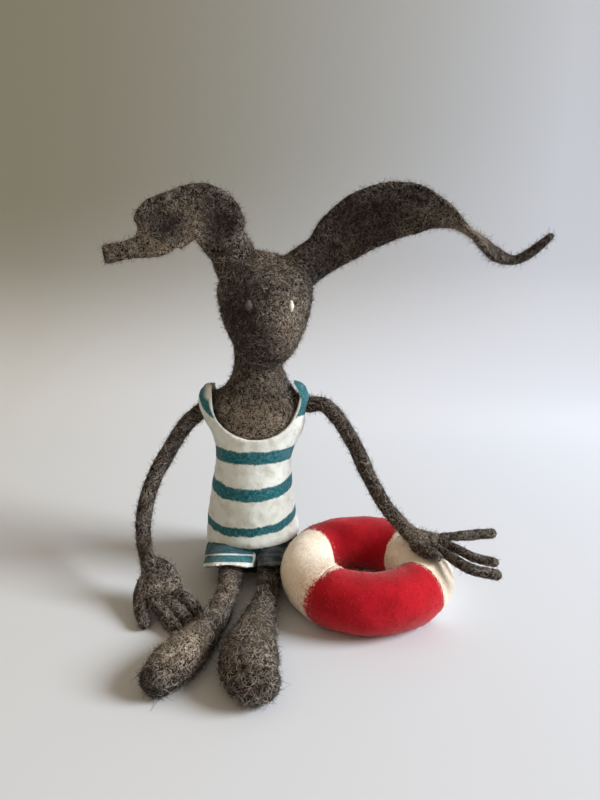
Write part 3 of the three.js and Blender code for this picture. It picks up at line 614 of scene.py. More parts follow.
def split_at(piece, cuts, names):
    """Cuts a skin across at planes, each within a radius of its point, and closes both sides.

    A cut is (point, direction, radius) in millimetres. Each part takes the name whose point lies nearest
    to its middle, from names = {name: point}.
    """
    bm = bmesh.new()
    bm.from_mesh(piece.data)
    for point, direction, radius in cuts:
        centre = place(*point)
        near = [face for face in bm.faces if (face.calc_center_median() - centre).length < radius * MM]
        edges = {edge for face in near for edge in face.edges}
        points = {corner for face in near for corner in face.verts}
        made = bmesh.ops.bisect_plane(
            bm,
            geom=[*near, *edges, *points],
            dist=1e-7,
            plane_co=centre,
            plane_no=Vector(direction),
        )
        rim = [item for item in made["geom_cut"] if isinstance(item, bmesh.types.BMEdge)]
        bmesh.ops.split_edges(bm, edges=rim)
    bm.faces.ensure_lookup_table()
    owner = {}
    parts = []
    for seed_face in bm.faces:
        if seed_face.index in owner:
            continue
        waiting = [seed_face]
        owner[seed_face.index] = len(parts)
        members = []
        while waiting:
            face = waiting.pop()
            members.append(face.index)
            for edge in face.edges:
                for other in edge.link_faces:
                    if other.index not in owner:
                        owner[other.index] = len(parts)
                        waiting.append(other)
        parts.append(members)
    parts = sorted(parts, key=len, reverse=True)[: len(names)]
    made = {}
    left = dict(names)
    for members in parts:
        keep = set(members)
        part = bm.copy()
        part.faces.ensure_lookup_table()
        away = [face for face in part.faces if face.index not in keep]
        bmesh.ops.delete(part, geom=away, context="FACES")
        rims = [edge for edge in part.edges if edge.is_boundary]
        filled = bmesh.ops.holes_fill(part, edges=rims, sides=0)
        bmesh.ops.triangulate(part, faces=filled["faces"])
        for edge in rims:
            if edge.is_valid:
                edge.smooth = False
        middle = sum((corner.co for corner in part.verts), Vector()) / len(part.verts)
        name = min(left, key=lambda each: (place(*left[each]) - middle).length)
        left.pop(name)
        mesh = bpy.data.meshes.new(name)
        part.to_mesh(mesh)
        part.free()
        made[name] = added(name, mesh)
    bm.free()
    drop(piece)
    if left:
        raise RuntimeError(f"the cuts made no part for {sorted(left)}")
    return made


def shaded(piece, material):
    """Gives a piece its finish and smooth faces."""
    piece.data.materials.clear()
    piece.data.materials.append(material)
    piece.data.polygons.foreach_set("use_smooth", [True] * len(piece.data.polygons))
    piece.data.update()


# Node trees


class Value:
    """A socket that Python's arithmetic adds Math nodes to."""

    def __init__(self, recipe, socket):
        self.recipe = recipe
        self.socket = socket

    def _maths(self, operation, *operands, clamp=False):
        settings = {"operation": operation, "use_clamp": clamp}
        return self.recipe.add("ShaderNodeMath", settings, dict(enumerate(operands)))

    def __add__(self, other):
        return self._maths("ADD", self, other)

    def __radd__(self, other):
        return self._maths("ADD", other, self)

    def __sub__(self, other):
        return self._maths("SUBTRACT", self, other)

    def __rsub__(self, other):
        return self._maths("SUBTRACT", other, self)

    def __mul__(self, other):
        return self._maths("MULTIPLY", self, other)

    def __rmul__(self, other):
        return self._maths("MULTIPLY", other, self)

    def __truediv__(self, other):
        return self._maths("DIVIDE", self, other)

    def __pow__(self, other):
        return self._maths("POWER", self, other)

    def __abs__(self):
        return self._maths("ABSOLUTE", self)

    def at_least(self, other):
        return self._maths("MAXIMUM", self, other)

    def at_most(self, other):
        return self._maths("MINIMUM", self, other)

    def clamped(self):
        return self._maths("ADD", self, 0.0, clamp=True)

    def angle_to(self, other):
        return self._maths("ARCTAN2", self, other)

    def faded(self, start, stop):
        """0 at start and 1 at stop, with a smooth fade between them."""
        settings = {"interpolation_type": "SMOOTHSTEP"}
        low, high = min(start, stop), max(start, stop)
        to_low, to_high = (0.0, 1.0) if start < stop else (1.0, 0.0)
        sockets = {"Value": self, "From Min": low, "From Max": high, "To Min": to_low, "To Max": to_high}
        return self.recipe.add("ShaderNodeMapRange", settings, sockets)


class Recipe:
    """A node tree, which one method adds nodes to."""

    def __init__(self, tree):
        self.tree = tree

    def add(self, kind, settings=None, sockets=None, output=0):
        node = self.tree.nodes.new(kind)
        for name, setting in (settings or {}).items():
            if name == "stops":
                ramp = node.color_ramp
                while len(ramp.elements) > 1:
                    ramp.elements.remove(ramp.elements[-1])
                ramp.elements[0].position, ramp.elements[0].color = setting[0]
                for position, colour in setting[1:]:
                    ramp.elements.new(position).color = colour
            else:
                setattr(node, name, setting)
        for name, value in (sockets or {}).items():
            socket = node.inputs[name]
            if isinstance(value, Value):
                self.tree.links.new(value.socket, socket)
            else:
                socket.default_value = value
        return None if output is None else Value(self, node.outputs[output])

    def mixed(self, factor, first, second):
        """A mix of two colours, each a Value or three numbers."""
        wide = [colour if isinstance(colour, Value) else (*colour, 1.0) for colour in (first, second)]
        return self.add("ShaderNodeMix", {"data_type": "RGBA"}, {0: factor, 6: wide[0], 7: wide[1]}, 2)

    def vector(self, operation, first, second, name=1, output=0):
        """One operation on a vector and a second vector or number."""
        settings = {"operation": operation}
        return self.add("ShaderNodeVectorMath", settings, {0: first, name: second}, output)

    def axes(self, vector):
        """A vector's three numbers."""
        first = self.add("ShaderNodeSeparateXYZ", {}, {0: vector})
        return [Value(self, socket) for socket in first.socket.node.outputs]

    def surface(self, sockets):
        """The end of a material: a shader with these sockets."""
        shader = self.add("ShaderNodeBsdfPrincipled", {}, sockets, "BSDF")
        self.add("ShaderNodeOutputMaterial", {}, {"Surface": shader}, None)


def linear(red, green, blue):
    """A colour for a socket, from the 0 to 255 values seen on a screen."""
    shares = [value / 255 for value in (red, green, blue)]
    return tuple(s / 12.92 if s <= 0.04045 else ((s + 0.055) / 1.055) ** 2.4 for s in shares)


def new_recipe(name):
    """A new material and its empty recipe."""
    material = bpy.data.materials.new(name)
    material.use_nodes = True
    material.node_tree.nodes.clear()
    return material, Recipe(material.node_tree)


def felt_recipe(name):
    """A new material, its recipe, and the place on the object in millimetres at the seat."""
    material, recipe = new_recipe(name)
    objects = recipe.add("ShaderNodeTexCoord", {}, {}, "Object")
    shifted = recipe.vector("SUBTRACT", objects, tuple(SEAT))
    return material, recipe, recipe.vector("SCALE", shifted, 1 / MM, "Scale")


def noise_at(recipe, spot, size, detail=2.0, twist=0.0):
    """Noise whose features are about a size in millimetres."""
    sockets = {"Vector": spot, "Scale": 1 / size, "Detail": detail, "Distortion": twist, "Roughness": 0.5}
    return recipe.add("ShaderNodeTexNoise", {"noise_dimensions": "3D"}, sockets, "Fac")


def toned(colour, *shares):
    """A colour with its red, green and blue each multiplied by a share."""
    return tuple(value * share for value, share in zip(colour, shares))


def hair_lines(recipe, spot, size, thin, shift, twist=0.8):
    """Curly hairs that lie in the surface: 1 on a hair and 0 between them."""
    moved = recipe.vector("ADD", spot, (shift, shift * 1.7, -shift))
    wave = noise_at(recipe, moved, size, 1.0, twist)
    return abs(wave - 0.5).faded(thin, thin * 0.15)


def bumped(recipe, height, strength, distance):
    """A normal from a height, which stands for a distance in millimetres."""
    sockets = {"Height": height, "Strength": strength, "Distance": distance * MM}
    return recipe.add("ShaderNodeBump", {}, sockets, "Normal")


def finish(recipe, colour, height, roughness, bump, sheen, sheen_tint=(1, 1, 1)):
    """The end of a felt material: a rough shader with a soft sheen."""
    recipe.surface({
        "Base Color": colour,
        "Roughness": roughness,
        "Normal": bumped(recipe, height, bump, 0.4),
        "Sheen Weight": sheen,
        "Sheen Roughness": 0.45,
        "Sheen Tint": (*sheen_tint, 1.0),
        "Specular IOR Level": 0.08,
    })


# Settings


def colour_setting(name, description, red, green, blue):
    """A colour that a user can change, with its default from the 0 to 255 values seen on a screen."""
    return FloatVectorProperty(
        name=name, description=description, subtype="COLOR", size=3, default=linear(red, green, blue),
        min=0, max=1)


class WoolSettings(bpy.types.PropertyGroup):
    """Colours of the doll's wool."""

    dark: colour_setting("Dark wool", "Wool under the hairs", 15, 13, 13)
    light: colour_setting("Light hairs", "Hairs that lie on the wool", 190, 181, 173)
    # Beige hairs stand both for paler wool and for painted light in the pale patches.
    beige: colour_setting("Beige hairs", "Lighter hairs of the pale patches", 182, 164, 140)
    brown: colour_setting("Brown hairs", "Warmer hairs in patches", 104, 82, 64)
    # Painted shade darkens the wool towards this colour, inside the ears and elsewhere.
    shade_purple: colour_setting("Purple wool", "Darker wool inside the ears", 44, 33, 36)


class FuzzSettings(bpy.types.PropertyGroup):
    """Loose hairs that stand out of the felt."""

    density: FloatProperty(
        name="Density", description="Hairs on a square centimetre of wool", default=75, min=0, max=400)
    length: FloatProperty(
        name="Length", description="Length of the longest common hair", default=4.2 * MM, unit="LENGTH",
        min=0, max=0.02)
    thickness: FloatProperty(
        name="Thickness", description="Radius of a hair at its root", default=0.11 * MM, unit="LENGTH",
        min=0, max=0.001)


class SuitSettings(bpy.types.PropertyGroup):
    """Colours of the bathing suit."""

    cream: colour_setting("Cream felt", "The suit's ground colour", 226, 232, 231)
    teal: colour_setting("Teal stripes", "The suit's stripes", 20, 96, 108)


class BuoySettings(bpy.types.PropertyGroup):
    """Colours of the lifebuoy."""

    red: colour_setting("Red felt", "The ring's red stretches", 176, 18, 34)
    white: colour_setting("Cream felt", "The ring's white stretches", 246, 234, 219)


class StageSettings(bpy.types.PropertyGroup):
    """Floor, backdrop and light."""

    floor: colour_setting("Floor", "Colour of the floor", 220, 227, 241)
    # The floor's and the backdrop's colours on the left are darker, as painted shade away from the window.
    floor_left_painted_shade: colour_setting("Floor on the left", "Colour of the floor far on the left", 190, 190, 190)
    wall: colour_setting("Backdrop", "Colour of the backdrop's top on the right", 217, 227, 243)
    wall_left_painted_shade: colour_setting(
        "Backdrop on the left", "Colour of the backdrop's top on the left", 143, 142, 128)
    key: FloatProperty(
        name="Window", description="Strength of the soft light from the right", default=4.3, min=0, max=20)
    world: FloatProperty(
        name="Room", description="Strength of the light from all round", default=0.5, min=0, max=5)


# Finishes


def mark_of(recipe, name):
    """A number stored at the points of a piece."""
    return recipe.add("ShaderNodeAttribute", {"attribute_name": name}, {}, "Fac")


def wool_material():
    """Grey-brown wool with light curly hairs felted into it, and painted light and painted shade in marked
    patches.
    """
    settings = bpy.context.scene.doll_wool
    material, recipe, spot = felt_recipe("grey_wool")
    pale, dusk = mark_of(recipe, "pale"), mark_of(recipe, "dusk")
    fine = hair_lines(recipe, spot, 2.0, 0.1, 3.0)
    middling = hair_lines(recipe, spot, 2.7, 0.085, 31.0, 1.4)
    broad = hair_lines(recipe, spot, 3.9, 0.06, 67.0, 1.8)
    gate = noise_at(recipe, spot, 1.5, 2.0).faded(0.46, 0.54)
    other = noise_at(recipe, spot, 2.1, 1.0, 0.5).faded(0.44, 0.54)
    hairs = (fine * other * 0.8).at_least(middling * gate).at_least(broad * (1 - gate))
    patches = noise_at(recipe, spot, 13.0, 3.0).faded(0.36, 0.66)
    # The pale patches, partly paler wool and partly painted light, bring out more and beiger hairs;
    # painted shade hides the hairs.
    strength = hairs * ((0.25 + 0.25 * patches + 0.52 * pale) * (1 - 0.75 * dusk)).at_most(0.95)
    warmth = noise_at(recipe, spot, 7.0, 2.0).faded(0.48, 0.66)
    light = recipe.mixed(warmth * 0.75, tuple(settings.light), tuple(settings.brown))
    light = recipe.mixed(pale * 0.6, light, tuple(settings.beige))
    grain = noise_at(recipe, spot, 0.8, 3.0)
    under = grain.faded(0.42, 0.75) * (0.3 + 0.1 * pale)
    ground = recipe.mixed(under, tuple(settings.dark), tuple(settings.brown))
    # Painted shade: the wool under the hairs turns dark purple.
    ground = recipe.mixed(dusk * 0.7, ground, tuple(settings.shade_purple))
    colour = recipe.mixed(strength, ground, light)
    height = hairs * 0.7 + grain * 0.5
    finish(recipe, colour, height, 0.92, 0.9, 0.03, (0.9, 0.85, 0.8))
    return material


def hair_material(name, stops, tint=None):
    """Loose hairs, each with a shade of its own. A tint is the colours of the pale patches, which are
    paler wool and painted light, and of the painted shade.
    """
    material, recipe = new_recipe(name)
    wide = [(position, (*colour, 1.0)) for position, colour in stops]
    shade = {"Fac": mark_of(recipe, "shade")}
    colour = recipe.add("ShaderNodeValToRGB", {"stops": wide}, shade, "Color")
    if tint:
        beige, dark = tint
        # Pale patches, partly paler wool and partly painted light, turn the hairs beige; painted shade
        # darkens them.
        colour = recipe.mixed(mark_of(recipe, "pale") * 0.5, colour, beige)
        colour = recipe.mixed(mark_of(recipe, "dusk") * 0.65, colour, dark)
    recipe.surface({"Base Color": colour, "Roughness": 0.8, "Specular IOR Level": 0.2})
    return material


def suit_material():
    """Cream felt with teal stripes, whose edges are a little fuzzy."""
    settings = bpy.context.scene.doll_suit
    material, recipe, spot = felt_recipe("cream_felt_suit")
    across, ahead, height = recipe.axes(spot)
    wobble = (noise_at(recipe, spot, 7.0, 2.0) - 0.5) * 2.4
    ragged = (noise_at(recipe, spot, 0.9, 3.0) - 0.5) * 2.6
    front = ((2.0 - ahead) / 22.0).at_least(0.0).at_most(1.0)
    level = height + wobble
    mask = None
    for side_height, mid_rise, tilt, half in STRIPES:
        middle = side_height + front * mid_rise + across * tilt
        stripe = (abs(level - middle) + ragged).faded(half + 0.5, half - 0.5)
        mask = stripe if mask is None else mask.at_least(stripe)
    strap_foot = 99.8 + ((-22.0 - across) / 10.4).at_least(0.0) ** 2.5 * 9.0
    straps = (level + ragged - strap_foot).faded(-0.5, 0.5)
    drop_share = ((NECKLINE_TOP - height) / (NECKLINE_TOP - NECKLINE[2])).clamped()
    neck_middle, neck_half, _ = NECKLINE
    opening = neck_half * (1 - drop_share * drop_share).clamped() ** 0.5
    lean = ((height - 110.0) / 9.0).clamped() ** 2.0 * across.faded(10.0, 20.0) * 4.2
    rim = (abs(across + lean - neck_middle) - opening).faded(1.2, 2.4)
    mask = mask.at_least(straps * rim)
    shorts = mark_of(recipe, "shorts")
    under = (height - mark_of(recipe, "hem") * EDGE_SCALE + ragged * 0.3).faded(0.4, -0.4)
    behind = ahead - HEM_AHEAD - HEM_SLANT * (HEM_HEIGHT - height)
    above_hem = (behind + ragged * 0.6).faded(2.6, 3.8)
    white_line = (abs(behind - 12.2) + ragged * 0.5).faded(0.5, 1.4)
    middle_seam = (abs(across - 1.2) + ragged * 0.4).faded(1.2, 2.0)
    mask = mask.at_least(under) * (1 - shorts) + shorts * above_hem * white_line * middle_seam
    lint = hair_lines(recipe, spot, 2.0, 0.05, 11.0)
    stray = hair_lines(recipe, spot, 3.2, 0.03, 47.0, 1.6)
    cloud = noise_at(recipe, spot, 6.0, 4.0)
    speck = noise_at(recipe, spot, 1.1, 3.0)
    cream = tuple(settings.cream)
    tint = toned(cream, 0.7, 0.66, 0.56)
    ground = recipe.mixed(cloud.faded(0.42, 0.78) * 0.6, cream, tint)
    ground = recipe.mixed(speck.faded(0.52, 0.75) * 0.3, ground, tint)
    ground = recipe.mixed(stray * cloud.faded(0.45, 0.7) * 0.3, ground, linear(126, 112, 96))
    teal = tuple(settings.teal)
    strap_top = (height + ragged - 109.0).faded(0.0, 3.0)
    strap_top = strap_top * (across + 31.0).faded(0.0, 5.0) * across.faded(0.0, -5.0)
    mask = mask * (1 - strap_top)
    bright = recipe.mixed(speck.faded(0.48, 0.7) * 0.5, teal, toned(teal, 3.0, 1.7, 1.6))
    thick = noise_at(recipe, spot, 1.9, 3.0).faded(0.45, 0.65)
    bright = recipe.mixed(thick * 0.5, bright, toned(teal, 0.5, 0.5, 0.55))
    bright = recipe.mixed(lint * 0.12, bright, cream)
    colour = recipe.mixed(mask, ground, bright)
    # Painted shade: a dark blue-grey where dusk is marked, under the belly's edge and on the short legs.
    colour = recipe.mixed(mark_of(recipe, "dusk"), colour, linear(24, 28, 36))
    grain = noise_at(recipe, spot, 0.7, 4.0)
    finish(recipe, colour, grain + lint * 0.4, 0.9, 0.5, 0.2)
    return material


def buoy_material():
    """Red and cream felt in turn round the ring, mixed where they meet."""
    settings = bpy.context.scene.doll_buoy
    material, recipe, spot = felt_recipe("buoy_felt")
    across, ahead, _ = recipe.axes(spot)
    across, ahead = across - BUOY_AT[0], ahead - BUOY_AT[1]
    angle = ahead.angle_to(across) * (180 / math.pi)
    reach = ((across * across + ahead * ahead) ** 0.5 - BUOY_MIDDLE_RADIUS) / BUOY_TUBE_RADIUS
    wobble = (noise_at(recipe, spot, 9.0, 2.0) - 0.5) * 5.0
    ragged = (noise_at(recipe, spot, 1.1, 3.0) - 0.5) * 9.0
    turned = angle + wobble + ragged
    # Two of the red stretches' four edges lean across the tube.
    front_start = RED_FRONT[0] - 9.5 * reach
    back_stop = RED_BACK[1] + (0.0 - reach).at_least(0.0) ** 4.0 * 20.0
    front = (turned - front_start).faded(-1.6, 1.6) * (RED_FRONT[1] - turned).faded(-1.6, 1.6)
    back = (turned - RED_BACK[0]).faded(-1.6, 1.6) * (back_stop - turned).faded(-1.6, 1.6)
    red = front.at_least(back)
    lint = hair_lines(recipe, spot, 1.4, 0.035, 17.0)
    stray = hair_lines(recipe, spot, 2.8, 0.022, 71.0, 1.8)
    cloud = noise_at(recipe, spot, 11.0, 4.0)
    deep = tuple(settings.red)
    white = tuple(settings.white)
    crimson = recipe.mixed(cloud.faded(0.35, 0.7) * 0.5, deep, toned(deep, 0.55, 0.4, 0.5))
    crimson = recipe.mixed(lint * 0.3, crimson, toned(deep, 1.5, 3, 2.5))
    cream = recipe.mixed(cloud.faded(0.45, 0.75) * 0.4, white, toned(white, 0.78, 0.72, 0.62))
    cream = recipe.mixed(stray * 0.35, cream, linear(120, 100, 84))
    past_start = turned - front_start
    band = past_start.faded(-20.0, -1.0) * past_start.faded(14.0, 8.0)
    mingled = band * noise_at(recipe, spot, 1.4, 3.0).faded(0.42, 0.62) * 0.55
    cream = recipe.mixed(mingled, cream, linear(206, 140, 132))
    colour = recipe.mixed(red, cream, crimson)
    blush = red * (1 - red) * 4.0
    colour = recipe.mixed(blush * 0.5, colour, linear(206, 120, 118))
    grain = noise_at(recipe, spot, 0.8, 4.0)
    finish(recipe, colour, grain + lint * 0.5, 0.9, 0.45, 0.2)
    return material


def eye_material():
    """Off-white felt of the eyes, with painted shade on the eye that sits in a shaded socket."""
    material, recipe, spot = felt_recipe("eye_felt")
    grain = noise_at(recipe, spot, 0.5, 3.0)
    colour = recipe.mixed(grain.faded(0.3, 0.8) * 0.5, linear(240, 234, 220), linear(170, 162, 150))
    # Painted shade over the eye that sits in a shaded socket.
    colour = recipe.mixed(mark_of(recipe, "dusk"), colour, linear(86, 80, 80))
    finish(recipe, colour, grain, 0.85, 0.4, 0.1)
    return material


def wire_material():
    """Dull soft aluminium wire with fine lengthwise scratches."""
    material, recipe, spot = felt_recipe("armature_wire_drawn")
    scratch = noise_at(recipe, spot, 0.35, 4.0)
    colour = recipe.mixed(scratch.faded(0.3, 0.7), linear(172, 175, 178), linear(205, 207, 209))
    recipe.surface({
        "Base Color": colour,
        "Metallic": 1.0,
        "Roughness": scratch.faded(0.2, 1.4) * 0.6 + 0.25,
        "Normal": bumped(recipe, scratch, 0.2, 0.05),
    })
    return material


FINISHES = {}


def wool_hair():
    wool = bpy.context.scene.doll_wool
    stops = (
        (0.0, linear(24, 20, 19)),
        (0.5, linear(40, 34, 32)),
        (0.74, linear(90, 80, 72)),
        (1.0, tuple(wool.light)),
    )
    return hair_material("grey_wool_hair", stops, (tuple(wool.beige), tuple(wool.shade_purple)))


def suit_hair():
    stops = ((0.0, linear(196, 192, 178)), (1.0, linear(232, 229, 216)))
    return hair_material("cream_felt_hair", stops)


def buoy_hair():
    red = tuple(bpy.context.scene.doll_buoy.red)
    return hair_material("red_felt_hair", ((0.0, red), (1.0, linear(206, 60, 66))))


def ring_hair():
    white = tuple(bpy.context.scene.doll_buoy.white)
    stops = ((0.0, linear(150, 132, 112)), (0.2, white), (1.0, linear(238, 228, 212)))
    return hair_material("ring_felt_hair", stops)


MAKERS = {
    "wool": wool_material,
    "suit": suit_material,
    "buoy": buoy_material,
    "eye": eye_material,
    "wire": wire_material,
    "wool_hair": wool_hair,
    "suit_hair": suit_hair,
    "buoy_hair": buoy_hair,
    "ring_hair": ring_hair,
}


def finish_of(name):
    """A finish, made the first time that a piece asks for it."""
    if name not in FINISHES:
        FINISHES[name] = MAKERS[name]()
    return FINISHES[name]


# Loose hairs


def fuzz_tree():
    """A Geometry Nodes tree that grows curly hairs over a skin."""
    tree = bpy.data.node_groups.get("Fuzz")
    if tree:
        return tree
    tree = bpy.data.node_groups.new("Fuzz", "GeometryNodeTree")
    face = tree.interface
    face.new_socket("Geometry", in_out="INPUT", socket_type="NodeSocketGeometry")
    numbers = ("Density", "Length", "Thickness", "Curl", "Lift")
    for name in numbers:
        face.new_socket(name, in_out="INPUT", socket_type="NodeSocketFloat")
    face.new_socket("Seed", in_out="INPUT", socket_type="NodeSocketInt")
    face.new_socket("Hair", in_out="INPUT", socket_type="NodeSocketMaterial")
    face.new_socket("Geometry", in_out="OUTPUT", socket_type="NodeSocketGeometry")
    recipe = Recipe(tree)
    names = ("Geometry", *numbers, "Seed", "Hair")
    given = {name: recipe.add("NodeGroupInput", {}, {}, name) for name in names}

    def stored(name):
        settings = {"data_type": "FLOAT"}
        return recipe.add("GeometryNodeInputNamedAttribute", settings, {"Name": name}, "Attribute")

    density = given["Density"] * (1.0 - stored("bald"))
    points = recipe.add(
        "GeometryNodeDistributePointsOnFaces",
        {"distribute_method": "RANDOM"},
        {"Mesh": given["Geometry"], "Density": density, "Seed": given["Seed"]},
        "Points",
    )
    upright = Value(recipe, points.socket.node.outputs["Normal"])

    def chance(shift):
        """A number from 0 to 1 for each hair, which differs from one shift to another."""
        seed = recipe.add("ShaderNodeMath", {"operation": "ADD"}, {0: given["Seed"], 1: float(shift)})
        sockets = {2: 0.0, 3: 1.0, "Seed": seed}
        return recipe.add("FunctionNodeRandomValue", {"data_type": "FLOAT"}, sockets, 1)

    vector = recipe.vector
    sideways = recipe.add(
        "FunctionNodeRandomValue",
        {"data_type": "FLOAT_VECTOR"},
        {0: (-1.0, -1.0, -1.0), 1: (1.0, 1.0, 1.0), "Seed": given["Seed"]},
        0,
    )
    share_up = vector("DOT_PRODUCT", upright, sideways, output=1)
    along_normal = vector("SCALE", upright, share_up, "Scale")
    flat = vector("NORMALIZE", vector("SUBTRACT", sideways, along_normal), (0.0, 0.0, 0.0))
    lift = given["Lift"] * (0.1 + chance(5) ** 4.0 * 2.6)
    heading = vector("ADD", flat, vector("SCALE", upright, lift, "Scale"))
    turn = recipe.add("FunctionNodeAlignRotationToVector", {"axis": "Z"}, {"Vector": heading}, "Rotation")
    stretch = given["Length"] * (0.35 + 0.65 * chance(9)) * (1.0 + 0.9 * chance(13) ** 14.0)
    shaded_points = recipe.add(
        "GeometryNodeStoreNamedAttribute",
        {"data_type": "FLOAT", "domain": "POINT"},
        {"Geometry": points, "Name": "shade", "Value": chance(21)},
        "Geometry",
    )
    line = recipe.add("GeometryNodeCurvePrimitiveLine", {}, {"End": (0.0, 0.0, 1.0)}, "Curve")
    fine_line = recipe.add("GeometryNodeResampleCurve", {}, {"Curve": line, "Count": 4}, "Curve")
    hairs = recipe.add(
        "GeometryNodeInstanceOnPoints",
        {},
        {"Points": shaded_points, "Instance": fine_line, "Rotation": turn, "Scale": stretch},
        "Instances",
    )
    loose = recipe.add("GeometryNodeRealizeInstances", {}, {"Geometry": hairs}, "Geometry")
    share = recipe.add("GeometryNodeSplineParameter", {}, {}, "Factor")
    shade = stored("shade")
    spot = recipe.add("GeometryNodeInputPosition", {}, {}, "Position")
    apart = recipe.add("ShaderNodeCombineXYZ", {}, {0: shade * 91.0, 1: shade * -47.0, 2: shade * 33.0})
    spread = vector("ADD", vector("SCALE", spot, 450.0, "Scale"), apart)
    sockets = {"Vector": spread, "Scale": 1.0, "Detail": 1.0}
    wave = recipe.add("ShaderNodeTexNoise", {"noise_dimensions": "3D"}, sockets, "Color")
    centred = vector("SUBTRACT", wave, (0.5, 0.5, 0.5))
    bend = vector("SCALE", centred, given["Curl"] * share ** 1.1, "Scale")
    curled = recipe.add("GeometryNodeSetPosition", {}, {"Geometry": loose, "Offset": bend}, "Geometry")
    radius = given["Thickness"] * (1.0 - 0.7 * share) * (0.7 + 0.6 * shade)
    here = recipe.add("GeometryNodeInputPosition", {}, {}, "Position")
    across, ahead, height = recipe.axes(here)
    above = {0: across, 1: ahead, 2: height.at_least(HAIR_LOWEST * MM)}
    kept_up = recipe.add("ShaderNodeCombineXYZ", {}, above)
    lifted = {"Geometry": curled, "Position": kept_up}
    curled = recipe.add("GeometryNodeSetPosition", {}, lifted, "Geometry")
    round_hair = {"Resolution": 3, "Radius": 1.0}
    ring = recipe.add("GeometryNodeCurvePrimitiveCircle", {"mode": "RADIUS"}, round_hair, "Curve")
    solid = recipe.add(
        "GeometryNodeCurveToMesh",
        {},
        {"Curve": curled, "Profile Curve": ring, "Scale": radius, "Fill Caps": True},
        "Mesh",
    )
    rounded = recipe.add("GeometryNodeSetShadeSmooth", {}, {0: solid, "Shade Smooth": True}, 0)
    whole = recipe.add("GeometryNodeRealizeInstances", {}, {"Geometry": rounded}, "Geometry")
    dyed = {"Geometry": whole, "Material": given["Hair"]}
    coloured = recipe.add("GeometryNodeSetMaterial", {}, dyed, "Geometry")
    recipe.add("NodeGroupOutput", {}, {"Geometry": coloured}, None)
    return tree


def fuzz_on(skin, seed, hair="wool_hair", density=1.0, length=1.0, thickness=1.0, curl=2.6, lift=0.5):
    """Grows loose hairs over a skin as a piece of their own."""
    settings = bpy.context.scene.doll_fuzz
    tree = fuzz_tree()
    piece = added(f"{skin.name}_fuzz", skin.data.copy())
    grown = piece.modifiers.new("Fuzz", "NODES")
    grown.node_group = tree
    values = {
        "Density": settings.density * 1e4 * density,
        "Length": settings.length * length,
        "Thickness": settings.thickness * thickness,
        "Curl": curl * MM,
        "Lift": lift,
        "Seed": seed,
        "Hair": finish_of(hair),
    }
    for item in tree.interface.items_tree:
        if item.in_out == "INPUT" and item.name in values:
            grown[item.identifier] = values[item.name]
    settled(piece)
    return piece


def dressed(skin, seed, attach, nodes, slot="grey_wool", hair="wool_hair", fuzz=True, **looks):
    """Passes a skin and its loose hairs to attach, and hides the parts that the skin stands for."""
    pieces = [skin]
    if fuzz:
        pieces.append(fuzz_on(skin, seed, hair, **looks))
    for piece in pieces:
        attach(piece)
    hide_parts(*nodes)


def rides(body):
    """Attaches a piece to one body."""
    return lambda piece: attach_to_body(piece, body)


def bends(first, second, start, stop):
    """Bakes a piece's place into its mesh; the bodies and places that it is given are not used."""
    return lambda piece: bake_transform(piece)


# Pieces

# Patches of lighter wool, partly paler wool and partly painted light where the window's light falls, and
# of painted shade: (place, reach, strength).
PALE_AND_LIT = {
    "head": (
        ((23, -26, 158), (12, 14, 17), 0.65),
        ((17, -14, 184), (9, 14, 9), 0.35),
        ((8, -6, 193), 7, 0.5),
        ((-30, -6, 208), (9, 8, 12), 0.8),
        ((-36, -6, 220), (12, 8, 6), 0.5),
        ((-46, -8, 197), (18, 8, 5), 0.9),
        ((-62, -9, 203), (10, 8, 8), 0.55),
        ((-73, -9, 196), (6, 8, 6), 0.5),
        ((120, -9, 208), (14, 9, 11), 0.95),
        ((97, -5, 217), (14, 8, 5), 0.35),
        ((55, 1, 203), 5, 0.35),
    ),
    "body": (
        ((3, -15, 99), (26, 12, 15), 0.8),
        ((11, -10, 126), (12, 10, 14), 0.45),
        ((-52, -52, 14), (12, 12, 6), 0.35),
        ((96, -39, 41), (14, 10, 5), 0.45),
    ),
    "legs": (
        ((-28, -108, 18), (14, 18, 8), 0.75),
        ((-14, -60, 17), (8, 20, 6), 0.5),
        ((7, -100, 22), (16, 30, 7), 0.4),
    ),
}
# Patches of painted shade, darker and more purple, where the head, ears, chin, arm and foot lie in shade.
PAINTED_SHADE = {
    "head": (
        ((-5, -27, 165), (14, 16, 22), 0.8),
        ((4, -32, 150), (14, 12, 10), 0.6),
        ((-19, -1, 212), (9, 8, 10), 0.75),
        ((-45, -9, 211), (8, 6, 6), 0.8),
        ((-82, -9, 190), 4, 0.9),
        ((70, -1, 213), (34, 8, 17), 0.8),
        ((42, 2, 195), (12, 9, 12), 0.6),
        ((156, -8, 197), (16, 8, 12), 0.75),
    ),
    "body": (
        ((-3, -12, 143), (16, 14, 12), 0.3),
        ((-45, -4, 88), (20, 14, 18), 0.35),
    ),
    "legs": (((-40, -128, 6), (8, 7, 8), 0.6),),
}


def cut_at(path, station, radius):
    """A cut across a path, square to it."""
    here = path.at(station)
    return tuple(here["point"]), tuple(here["direction"]), radius


